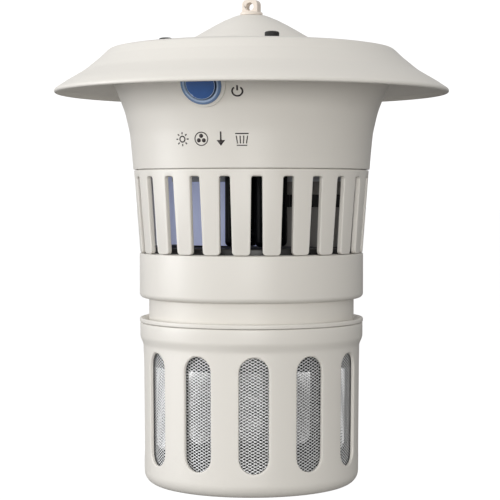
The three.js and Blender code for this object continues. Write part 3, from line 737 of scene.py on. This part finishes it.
class BuildHead(TrapOperator, bpy.types.Operator):
    """Funnel-shaped head with a boss for the button and a pad for the inlet"""

    bl_idname = "trap.head_housing"
    bl_label = "Head housing"

    def execute(self, context):
        side = head_outline()
        wall = sizes().wall
        inner = [(r - wall, z) for r, z in reversed(side)]
        bm = turned(rounded(side + inner))
        opened = [face for face in bm.faces if self.at_switch(face) or self.at_inlet(face)]
        bmesh.ops.delete(bm, geom=opened, context="FACES")
        piece("head_moulding", bm, "housing", ivory(), ["head_housing"], 50)
        boss = [(11.0, -5), (14.2, -5), (15.0, 0.2, 1.0), (14.6, 1.2, 0.7), (11.4, 1.3, 0.3)]
        spun("switch_boss", boss, IVORY, ivory(), facets=96, place=switch_place())
        bm = bmesh.new()
        pad = [(-15, 205.5, 1), (15, 205.5, 1), (15, 226.5, 1), (-15, 226.5, 1)]
        hole = [(-INLET_HALF, INLET_FOOT + 0.4, 1), (INLET_HALF, INLET_FOOT + 0.4, 1)]
        hole += [(INLET_HALF, INLET_TOP - 0.4, 1), (-INLET_HALF, INLET_TOP - 0.4, 1)]
        holed_plate(bm, rounded(pad), rounded(hole), 73.5, 77.9)
        piece("inlet_pad", bm, "housing", ivory())
        return {"FINISHED"}

    @staticmethod
    def at_switch(face):
        """Whether a face of the wall lies over the button's bore."""
        spot = switch_place().inverted() @ face.calc_center_median()
        either_side, opening = 20 * MM, 12.4 * MM
        return abs(spot.z) < either_side and spot.xy.length < opening

    @staticmethod
    def at_inlet(face):
        """Whether a face of the wall lies over the inlet's opening, on the back."""
        middle = face.calc_center_median() / MM
        return middle.y > 0 and abs(middle.x) < INLET_HALF + 1 and INLET_FOOT < middle.z < INLET_TOP


class BuildSwitch(TrapOperator, bpy.types.Operator):
    """Blue ring and domed push-button"""

    bl_idname = "trap.switch"
    bl_label = "Push-button"

    def execute(self, context):
        slope = [(12.8, 1.5, 0.2), (12.8, 2.0, 0.4), (12.0, 2.7, 0.3)]
        flange = [(11.3, -4), (11.4, -4), (11.4, 1.5)] + slope + [(11.3, 2.8, 0.1)]
        seat = {"facets": 96, "place": switch_place()}
        spun("bezel_flange", flange, BEZEL, bezel_blue(), ["switch_bezel"], **seat)
        # A pale ring on the bezel's inner bevel, a painted highlight.
        lens = [(10, -12), (10.9, -12), (11.3, -4), (11.3, 2.7, 0.2), (10.6, 2.9, 0.2), (10, 2.3, 0.2)]
        spun("pale_highlight_ring", lens, BEZEL, pale_highlight_ring(), **seat)
        rim = [(0, -10), (3.5, -10), (3.5, -6), (9.6, -6, 0.3), (9.6, 2.6, 0.3), (9.3, 3.0, 0.2)]
        rim += [(9.15, 2.9, 0.1), (9.15, 1), (0, 1)]
        seat["body"] = "push_button"
        spun("button_rim", rim, BUTTON, button_blue(), ["push_button"], steps=3, **seat)
        # A thin pale line round the button's rim, a painted highlight.
        line = [(8.8, 1), (9.15, 1), (9.15, 3.0, 0.15), (8.8, 3.1, 0.15)]
        spun("button_line", line, BUTTON, pale_highlight_ring(), **seat)
        face = [(0, 1), (8.8, 1), (8.8, 3.1, 0.1), (8.2, 3.35, 0.4), (7.0, 3.7), (5.4, 4.1)]
        face += [(3.6, 4.35), (1.8, 4.5), (0, 4.5)]
        spun("button_face", face, BUTTON, button_face(), steps=3, **seat)
        return {"FINISHED"}


class BuildMarks(TrapOperator, bpy.types.Operator):
    """Plain printed pictograms: a power sign, and lamp, fan, arrow and basket signs"""

    bl_idname = "trap.printed_marks"
    bl_label = "Printed marks"

    def execute(self, context):
        side = head_outline()

        def just_outside(height):
            return on_outline(side, height) + 0.05

        row = [("mark_lamp", lamp_sign, -12.6), ("mark_fan", fan_sign, -2.9)]
        row += [("mark_arrow", arrow_sign, 6.3), ("mark_basket", basket_sign, 15.8)]
        marks = [("mark_power", power_sign, 14.3, 243.4, 3.1)] + [(*mark, 216, 4.2) for mark in row]
        for name, draw, angle, height, half in marks:
            bm = bmesh.new()
            draw(bm, half)
            bmesh.ops.translate(bm, verts=bm.verts, vec=(0, 0, height * MM))
            sliced(bm, 0.8, half + 1)
            wrapped(bm, just_outside, angle)
            bmesh.ops.remove_doubles(bm, verts=bm.verts, dist=1e-6)
            face_outwards(bm)
            made = piece(name, bm, "housing", ink())
            thicken(made, 0.12)
        return {"FINISHED"}


def bar_sign(bm, start, end, width):
    """A flat bar between two (x, z) points."""
    start, end = Vector(start), Vector(end)
    across = (end - start).orthogonal().normalized() * width / 2
    bm.faces.new(flat_verts(bm, (start + across, end + across, end - across, start - across)))


def ring_sign(bm, radius, width, start=0, end=360, steps=32):
    """A flat ring, or part of one."""
    whole = end - start == 360
    count = steps - 1 if whole else steps
    stop = end - 360 / steps if whole else end
    outer = flat_verts(bm, arc(0, 0, radius, start, stop, count))
    inner = flat_verts(bm, arc(0, 0, radius - width, start, stop, count))
    for k in range(steps):
        ahead = (k + 1) % len(outer)
        bm.faces.new((outer[k], outer[ahead], inner[ahead], inner[k]))


def power_sign(bm, half):
    ring_sign(bm, half, 0.9, 125, 415)
    bar_sign(bm, (0, half * 0.15), (0, half * 1.1), 0.9)


def lamp_sign(bm, half):
    ring_sign(bm, half * 0.5, 0.8)
    for k in range(8):
        turn = Vector((math.cos(k * math.pi / 4), math.sin(k * math.pi / 4)))
        bar_sign(bm, turn * half * 0.68, turn * half, 0.75)


def fan_sign(bm, half):
    ring_sign(bm, half, 0.6)
    for k in range(3):
        angle = math.radians(90 + 120 * k)
        centre = (math.cos(angle) * half * 0.42, math.sin(angle) * half * 0.42)
        bm.faces.new(flat_verts(bm, arc(*centre, half * 0.3, 0, 330, 11)))


def arrow_sign(bm, half):
    bar_sign(bm, (0, half), (0, -half * 0.3), 0.9)
    tip = [(-half * 0.6, -half * 0.2), (0, -half), (half * 0.6, -half * 0.2)]
    bm.faces.new(flat_verts(bm, tip))


def basket_sign(bm, half):
    bar_sign(bm, (-half * 0.9, half * 0.7), (half * 0.9, half * 0.7), 0.7)
    for k in (-1, -0.33, 0.33, 1):
        bar_sign(bm, (k * half * 0.75, half * 0.4), (k * half * 0.6, -half * 0.7), 0.6)
    bar_sign(bm, (-half * 0.7, -half * 0.95), (half * 0.7, -half * 0.95), 0.6)


class BuildGrille(TrapOperator, bpy.types.Operator):
    """Slotted wall of the lamp chamber"""

    bl_idname = "trap.grille_ring"
    bl_label = "Slotted grille"

    def execute(self, context):
        size = sizes()
        top, foot, slot_top = 198.3, 146.5, 194.0
        pitch = 2 * math.pi / size.slots

        def radius_at(height):
            return 70.6 + 3.9 * (height - foot) / (top - foot)

        def bar_half(slot, height):
            """Half the flat width of a bar beside slots of a width, at a height."""
            return FLAT_RADIUS * (pitch - slot / radius_at(height)) / 2

        edge = FLAT_RADIUS * pitch / 2
        upper, lower = bar_half(size.slot_top, slot_top), bar_half(size.slot_foot, foot)
        left = [(-edge, top), (-edge, slot_top), (-upper, slot_top, 1.9), (-lower, foot, 2.2)]
        right = [(-x, z, *fillet) for x, z, *fillet in reversed(left)]
        bm = bmesh.new()
        bm.faces.new(flat_verts(bm, rounded(left + right, 6)))
        sliced(bm, edge / 6, edge - 0.1)
        wrapped(bm, radius_at)
        repeated(bm, size.slots)
        face_outwards(bm)
        bars = piece("grille_bars", bm, "housing", ivory(), ["grille_ring"], 40)
        thicken(bars, 3.2, 0.55, 3)
        hoop = [(68.9, 193.0, 0.5), (71.2, 195.0), (71.9, 198.2), (71.9, 199.9), (69.7, 199.9, 0.4)]
        spun("grille_spigot", hoop, IVORY, ivory())
        base = [(64.4, 142), (67.5, 142), (67.5, 146.3, 0.3), (64.9, 146.6, 0.4)]
        spun("grille_foot", base, IVORY, ivory())
        return {"FINISHED"}


class BuildFanHousing(TrapOperator, bpy.types.Operator):
    """Smooth ring round the fan, with the duct below it"""

    bl_idname = "trap.fan_housing"
    bl_label = "Fan housing and duct"

    def execute(self, context):
        radius, top, foot = reach("fan_housing"), high("fan_housing"), low("fan_housing")
        step = 118.0
        seam = 92.0
        outer = [(65.1, seam), (65.1, step - 0.2, 0.8), (radius, step, 4.0), (radius, top, 0.6)]
        inner = [(68, top, 0.3), (68, 121.5), (62.6, 121.5, 0.5), (62.6, seam)]
        spun("fan_ring", outer + inner, IVORY, ivory(), ["fan_housing"], 40, 6, 160)
        sleeve = [(65.1, foot, 0.5), (65.1, seam), (62.6, seam), (62.6, 81.6), (60.6, 81.6)]
        sleeve += [(60.6, 79.5), (62.6, 79.5), (62.6, foot, 0.5)]
        spun("duct_end", sleeve, BLACK, black_plastic(), facets=160)
        bm = bmesh.new()
        for side in (-1, 1):
            block(bm, (side * 57.5, -3, 75.7), (side * 62.8, 3, 81.4), 0.4)
        piece("pin_seats", bm, "housing", black_plastic())
        bm = bmesh.new()
        for angle in (40, 160, 280):
            start = set(bm.verts)
            block(bm, (-7, -66.8, 91.2), (7, -64.6, 93.6), 0.4)
            turn_by(bm, fresh(bm, start), math.radians(angle))
        piece("ring_lugs", bm, "housing", ivory())
        return {"FINISHED"}


class BuildLamp(TrapOperator, bpy.types.Operator):
    """Twin-tube blacklight lamp in its base"""

    bl_idname = "trap.lamp"
    bl_label = "Lamp"

    def execute(self, context):
        corner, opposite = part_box("lamp_base")
        centre = (corner + opposite) / 2
        radius, foot, top = reach("lamp_base") - centre.x / MM, low("lamp_base"), high("lamp_base")
        profile = [(0, foot), (radius - 2, foot, 0.6), (radius, foot + 2, 0.6), (radius, top - 3, 0.8)]
        profile += [(14, top, 0.8), (0, top)]
        place = Matrix.Translation((centre.x, 0, 0))
        spun("lamp_collar", profile, BLACK, black_plastic(), ["lamp_base"], facets=96, place=place)
        for name in ("lamp_tube_front", "lamp_tube_rear"):
            corner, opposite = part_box(name)
            tube_r = (opposite.y - corner.y) / 2 / MM
            half = (opposite.x - corner.x) / 2 / MM - tube_r
            foot, top = corner.z / MM, opposite.z / MM
            bm = bmesh.new()
            for side in (-half, half):
                start = set(bm.verts)
                outline = rounded([(0, foot), (tube_r, foot, 4), (tube_r, top), (0, top)], 6)
                turned(outline, 40, bm, closed=False)
                bmesh.ops.translate(bm, verts=fresh(bm, start), vec=(side * MM, 0, 0))
            rod(bm, 3.2, (-half, 0, foot + 8), (half, 0, foot + 8), 24)
            middle = (corner + opposite) / 2
            bmesh.ops.translate(bm, verts=bm.verts, vec=(middle.x, middle.y, 0))
            piece(name.replace("lamp_tube", "glass"), bm, "housing", lamp_glass(), [name])
        return {"FINISHED"}


class BuildFan(TrapOperator, bpy.types.Operator):
    """Rotor with twisted blades, and the finger guard above it"""

    bl_idname = "trap.fan"
    bl_label = "Fan"

    def execute(self, context):
        foot, top = low("fan_rotor"), high("fan_rotor")
        hub = [(18.4, foot, 0.3), (20.5, foot, 0.4), (20.5, top - 0.4, 2.0), (0, top), (0, top - 2.4)]
        hub.append((18.4, top - 2.6, 1))
        rotor = "fan_rotor"
        spun("rotor_hub", hub, BLACK, black_plastic(), [rotor], facets=96, body=rotor)
        blades = 7
        for i in range(blades):
            bm = bmesh.new()
            bmesh.ops.create_grid(bm, x_segments=8, y_segments=8, size=0.5)
            for vert in bm.verts:
                vert.co = self.blade_point(vert.co.y + 0.5, vert.co.x) * MM
            turn_by(bm, bm.verts, 2 * math.pi * i / blades)
            bmesh.ops.recalc_face_normals(bm, faces=bm.faces)
            blade = piece(f"rotor_blade_{i + 1}", bm, rotor, black_plastic())
            thicken(blade, 1.5, 0.3, 2)
        self.guard()
        return {"FINISHED"}

    @staticmethod
    def blade_point(along, chord):
        """A point of a blade, from 0 at its root to 1 at its tip and across its chord, in mm."""
        root, tip = 19.5, 57.5
        radius = root + (tip - root) * along
        pitch = math.radians(46 - 14 * along)
        across = chord * (21 + 7 * along)
        camber = 1.6 * (1 - 4 * chord * chord)
        sideways = across * math.cos(pitch) + camber * math.sin(pitch)
        height = 1000 * joint("fan_spin")["pos_m"][2]
        spot = Vector((sideways, -radius, height - across * math.sin(pitch) + camber * math.cos(pitch)))
        spot.xy = spot.xy * radius / spot.xy.length
        return spot

    @staticmethod
    def guard():
        """Rim and wires of the finger guard."""
        foot = low("fan_guard")
        rim_top = foot + 4.2
        rim = [(60.2, foot, 0.4), (63.9, foot, 0.4), (63.9, rim_top, 0.9), (60.2, rim_top, 0.9)]
        spun("guard_rim", rim, BLACK, black_plastic(), ["fan_guard"])
        wire, wire_z = 0.9, foot + 1.6
        bm = bmesh.new()
        for radius in (14, 29, 44):
            ring(bm, radius, wire, wire_z)
        for angle in (30, 150, 270):
            spoke = Vector((math.sin(math.radians(angle)), -math.cos(math.radians(angle)), 0))
            lift = Vector((0, 0, wire_z))
            rod(bm, wire, spoke * 13 + lift, spoke * 61 + lift)
        piece("guard_wires", bm, "housing", black_plastic())


class BuildLockRing(TrapOperator, bpy.types.Operator):
    """Dished lip on top of the basket"""

    bl_idname = "trap.lock_ring"
    bl_label = "Lock ring"

    def execute(self, context):
        radius, top, foot = reach("lock_ring"), high("lock_ring"), low("lock_ring")
        lip = 102.6
        profile = [(67.9, foot, 0.4), (67.9, lip), (radius, lip, 0.5), (radius, top, 0.9), (69.4, top, 0.5)]
        profile += [(67.6, top - 1.9, 1.5), (66.2, top - 3.4, 0.8), (66.2, foot, 0.4)]
        spun("lock_lip", profile, IVORY, ivory(), ["lock_ring"], 40, 5, 160, body="lock_ring")
        return {"FINISHED"}


def wall_radius(height):
    """Outer radius of the basket's wall at a height. It grows by 0.5 mm along the windows."""
    return 68.2 + 0.5 * (height - 15) / 72


class BuildBasket(TrapOperator, bpy.types.Operator):
    """Basket shell with its round-ended windows"""

    bl_idname = "trap.basket_shell"
    bl_label = "Basket shell"

    def execute(self, context):
        size = sizes()
        half = size.window_width / 2
        foot, top = 8.0, 87.4
        edge = FLAT_RADIUS * math.pi / size.windows
        across = FLAT_RADIUS / 68.5
        steps = 12
        upper = arc(0, size.window_high - half, half, 0, 180, steps)
        lower = arc(0, size.window_low + half, half, 180, 360, steps)
        climb = (size.window_high - size.window_low - 2 * half) / steps
        left = [(-half, upper[-1][1] - climb * k) for k in range(1, steps)]
        right = [(half, lower[-1][1] + climb * k) for k in range(1, steps)]
        hole = [(x * across, z) for x, z in upper + left + lower + right]
        corners = [(edge, top), (-edge, top), (-edge, foot), (edge, foot), (edge, top)]
        frame_loop = []
        for start, end in zip(corners, corners[1:]):
            frame_loop += [Vector(start).lerp(Vector(end), k / steps) for k in range(steps)]
        bm = bmesh.new()
        edges = loop_of(bm, hole) + loop_of(bm, frame_loop)
        bmesh.ops.bridge_loops(bm, edges=edges)
        spokes = [e for e in bm.edges if e not in edges]
        bmesh.ops.subdivide_edges(bm, edges=spokes, cuts=4, use_grid_fill=True)
        wrapped(bm, wall_radius, size.window_turn)
        repeated(bm, size.windows)
        neck = []  # the wall swells by 2 mm over the windows, in a smooth step
        for t in (k / 7 for k in range(1, 8)):
            neck.append((68.7 + 2 * (3 * t * t - 2 * t ** 3), top + 6.8 * t))
        self.carry(bm, top, neck + [(70.7, 98), (70.7, high("basket_shell"))])
        rim = wall_radius(foot) - 8
        under = arc(rim, 8, 8, 0, -90, 9)[1:] + [(rim - 2, 0.0), (rim - 2.6, 0.5), (rim - 4, 0.5)]
        base = self.carry(bm, foot, under)
        bmesh.ops.contextual_create(bm, geom=base)
        face_outwards(bm)
        replaced = ["basket_shell"]
        shell = piece("basket_moulding", bm, "catch_basket", basket_ivory(), replaced, 40)
        thicken(shell, 2.2, 0.6, 3)
        return {"FINISHED"}

    @staticmethod
    def carry(bm, height, profile):
        """Carries the open edge at a height on through the points of a profile."""
        level = [e for e in bm.edges if e.is_boundary]
        level = [e for e in level if all(abs(v.co.z / MM - height) < 0.01 for v in e.verts)]
        for radius, up in profile:
            made = bmesh.ops.extrude_edge_only(bm, edges=level)["geom"]
            for vert in points_of(made):
                vert.co = Vector((*(vert.co.xy.normalized() * radius * MM), up * MM))
            level = [e for e in made if isinstance(e, bmesh.types.BMEdge)]
        return level


class BuildLiner(TrapOperator, bpy.types.Operator):
    """Expanded metal behind the windows, as two half-round sheets of diamonds"""

    bl_idname = "trap.mesh_liner"
    bl_label = "Mesh liner"

    def execute(self, context):
        size = sizes()
        foot, top = low("mesh_liner"), high("mesh_liner")

        def radius_at(height):
            return 65.2 + 0.7 * (height - foot) / (top - foot)

        mean_radius = 65.6
        columns = round(math.pi * mean_radius / size.mesh_long)
        rows = round((top - foot) / size.mesh_short)
        upright = Matrix.Rotation(math.pi / 2, 4, "X")
        place = Matrix.Translation((0, 0, (foot + top) / 2 * MM)) @ upright
        place = place @ Matrix.Diagonal((math.pi * FLAT_RADIUS * MM, (top - foot) * MM, 1, 1))
        ripple, ramp = 0.12 * MM, 0.3 * MM
        for name, around in (("liner_right", 90), ("liner_left", -90)):
            bm = bmesh.new()
            bmesh.ops.create_grid(bm, x_segments=columns, y_segments=rows, size=0.5, matrix=place)
            old = [e for e in bm.edges if not e.is_boundary]
            bmesh.ops.poke(bm, faces=bm.faces[:])
            bmesh.ops.dissolve_edges(bm, edges=old, use_verts=False)
            holes = bm.faces[:]
            half = size.strand / 2 * MM
            bmesh.ops.inset_individual(bm, faces=holes, thickness=half, depth=0, use_even_offset=True)
            for face in holes:
                middle = face.calc_center_median().z
                for vert in face.verts:
                    vert.co.y += ripple * max(-1, min(1, (vert.co.z - middle) / ramp))
            bmesh.ops.delete(bm, geom=holes, context="FACES")
            wrapped(bm, radius_at, around)
            face_outwards(bm)
            replaced = ["mesh_liner"] if around > 0 else []
            made = piece(name, bm, "catch_basket", bright_mesh(), replaced, 60)
            thicken(made, 0.2)
        return {"FINISHED"}


class FinishInnerParts(TrapOperator, bpy.types.Operator):
    """Finishes of the parts whose frame shape is kept"""

    bl_idname = "trap.inner_parts"
    bl_label = "Inner parts"

    def execute(self, context):
        screws = [f"{kind}_screw_{i}" for kind in ("canopy", "fan") for i in range(1, 5)]
        screws += ["hanger_screw_left", "hanger_screw_right", "tray_screw_1", "tray_screw_2"]
        bright = ["eye_nut", "hanger_bar", "socket_bracket", "motor_shaft", "shutter_pin", "flap_spring"]
        bright += ["inlet_pin_left", "inlet_pin_right"]
        dark = ["switch_body", "power_inlet", "power_module", "board_capacitor", "lamp_socket"]
        dark += ["lamp_clamp", "fan_frame"]
        kept = {
            steel: screws + bright,
            ivory: ["circuit_tray", "flap_front", "flap_rear"],
            black_plastic: dark,
            lavender: ["lure_plate_left"],
            plate_grey: ["lure_plate_right"],
            rail_grey: ["plate_rail"],
            board_green: ["driver_board"],
            copper: ["board_transformer", "fan_motor"],
            rubber: ["inlet_lead", "switch_lead", "lamp_lead"],
        }
        for material, names in kept.items():
            for name in names:
                kept_part = frame["nodes"][name]
                kept_part.data.materials.clear()
                kept_part.data.materials.append(material())
        return {"FINISHED"}


class BuildStage(TrapOperator, bpy.types.Operator):
    """Pale floor, soft studio lights and the camera"""

    bl_idname = "trap.stage"
    bl_label = "Stage"

    def execute(self, context):
        bm = bmesh.new()
        bmesh.ops.create_circle(bm, cap_ends=True, segments=96, radius=45)
        mesh = bpy.data.meshes.new("floor")
        bm.to_mesh(mesh)
        bm.free()
        floor = bpy.data.objects.new("floor", mesh)
        context.scene.collection.objects.link(floor)
        paper = bpy.data.materials.new("pale floor")
        paper.use_nodes = True
        tree = paper.node_tree
        shader = tree.nodes["Principled BSDF"]
        shader.inputs["Base Color"].default_value = (*colours().backdrop, 1)
        shader.inputs["Roughness"].default_value = 0.9
        shader.inputs["Emission Color"].default_value = (1, 1, 1, 1)
        seen = node(tree, "ShaderNodeLightPath").outputs["Is Camera Ray"]
        lit = math_node(tree, "SUBTRACT", 1.0, self.shade_behind(tree))
        glow = product(tree, product(tree, seen, lit), 0.86)
        tree.links.new(glow, shader.inputs["Emission Strength"])
        mesh.materials.append(paper)
        below_dropped_basket = joint("basket_drop")["range_m"][1] + 5 * MM
        floor.location.z = -below_dropped_basket
        self.studio(context)
        self.light(context, "key", (-2.4, -1.2, 0.42), 1.3, 35, (0.97, 0.98, 1.0))
        self.light(context, "front", (1.0, -2.6, 0.3), 1.2, 36, (1.0, 0.985, 0.955))
        self.light(context, "top", (-0.3, -0.4, 2.4), 1.6, 7, (1.0, 1.0, 1.0))
        self.camera(context)
        context.scene.view_settings.view_transform = "Standard"
        return {"FINISHED"}

    @staticmethod
    def shade_behind(tree):
        """A long soft shade on the floor behind the trap, seen only from the camera's side."""
        away, half_width, half_length = 1.4, 0.15, 0.78
        backwards = Vector((-math.sin(CAMERA_TURN), math.cos(CAMERA_TURN), 0))
        place = node(tree, "ShaderNodeTexCoord").outputs["Object"]
        given = {"Vector": place, "Location": backwards * away, "Rotation": (0, 0, CAMERA_TURN)}
        given["Scale"] = (half_width, half_length, 1)
        oval = node(tree, "ShaderNodeMapping", given, vector_type="TEXTURE").outputs["Vector"]
        distance = node(tree, "ShaderNodeVectorMath", {0: oval}, operation="LENGTH")
        shade = eased(tree, distance.outputs["Value"], 0.5, 1.0, 1.0, 0.0)
        towards_eye = node(tree, "ShaderNodeNewGeometry").outputs["Incoming"]
        from_front = math_node(tree, "GREATER_THAN", dot(tree, towards_eye, -backwards), 0.95)
        return product(tree, shade, from_front)

    def studio(self, context):
        """White surroundings whose light comes mostly from the left."""
        world = bpy.data.worlds.new("studio")
        world.use_nodes = True
        tree = world.node_tree
        sky = tree.nodes["Background"]
        place = node(tree, "ShaderNodeTexCoord").outputs["Generated"]
        level = eased(tree, dot(tree, place, (-0.88, -0.42, 0.2)), -0.8, 0.9, 0.4, 0.7)
        seen = node(tree, "ShaderNodeLightPath").outputs["Is Camera Ray"]
        strength = math_node(tree, "MAXIMUM", product(tree, seen, 1.1), level)
        sky.inputs["Color"].default_value = (1, 1, 1, 1)
        tree.links.new(strength, sky.inputs["Strength"])
        context.scene.world = world

    def light(self, context, name, place, size, power, colour):
        lamp = bpy.data.lights.new(name, "AREA")
        lamp.color = colour
        lamp.size = size
        lamp.energy = power
        made = bpy.data.objects.new(name, lamp)
        made.location = place
        middle = Vector((0, 0, 0.16))
        aim = middle - Vector(place)
        made.rotation_euler = aim.to_track_quat("-Z", "Y").to_euler()
        context.scene.collection.objects.link(made)

    def camera(self, context):
        distance, height, aim_height, aim_left = 1.057, 0.182, 0.1477, 0.0009
        across, along = math.cos(CAMERA_TURN), math.sin(CAMERA_TURN)
        lens = bpy.data.cameras.new("camera")
        lens.lens = 119.5
        lens.sensor_width = 36
        lens.clip_start, lens.clip_end = 0.05, 60
        made = bpy.data.objects.new("camera", lens)
        made.location = (distance * along, -distance * across, height)
        aim = Vector((-aim_left * across, -aim_left * along, aim_height))
        made.rotation_euler = (aim - made.location).to_track_quat("-Z", "Y").to_euler()
        context.scene.collection.objects.link(made)
        context.scene.camera = made


OPERATORS = (
    BuildStage, BuildHangingEye, BuildDome, BuildCanopy, BuildPlugs, BuildHead, BuildSwitch,
    BuildMarks, BuildGrille, BuildFanHousing, BuildLamp, BuildFan, BuildLockRing, BuildBasket,
    BuildLiner, FinishInnerParts,
)


class TrapPanel(bpy.types.Panel):
    """Lists the builders of the insect trap"""

    bl_idname = "VIEW3D_PT_insect_trap"
    bl_label = "Insect trap"
    bl_space_type = "VIEW_3D"
    bl_region_type = "UI"
    bl_category = "Insect trap"

    def draw(self, context):
        for operator in OPERATORS:
            self.layout.operator(operator.bl_idname)


CLASSES = (TrapSizes, TrapColours, *OPERATORS, TrapPanel)


def register():
    for item in CLASSES:
        bpy.utils.register_class(item)
    bpy.types.Scene.trap_sizes = PointerProperty(type=TrapSizes)
    bpy.types.Scene.trap_colours = PointerProperty(type=TrapColours)


def unregister():
    del bpy.types.Scene.trap_colours
    del bpy.types.Scene.trap_sizes
    for item in reversed(CLASSES):
        bpy.utils.unregister_class(item)


def main():
    register()
    for operator in OPERATORS:
        group, name = operator.bl_idname.split(".")
        getattr(getattr(bpy.ops, group), name)()


if __name__ == "__main__":
    main()
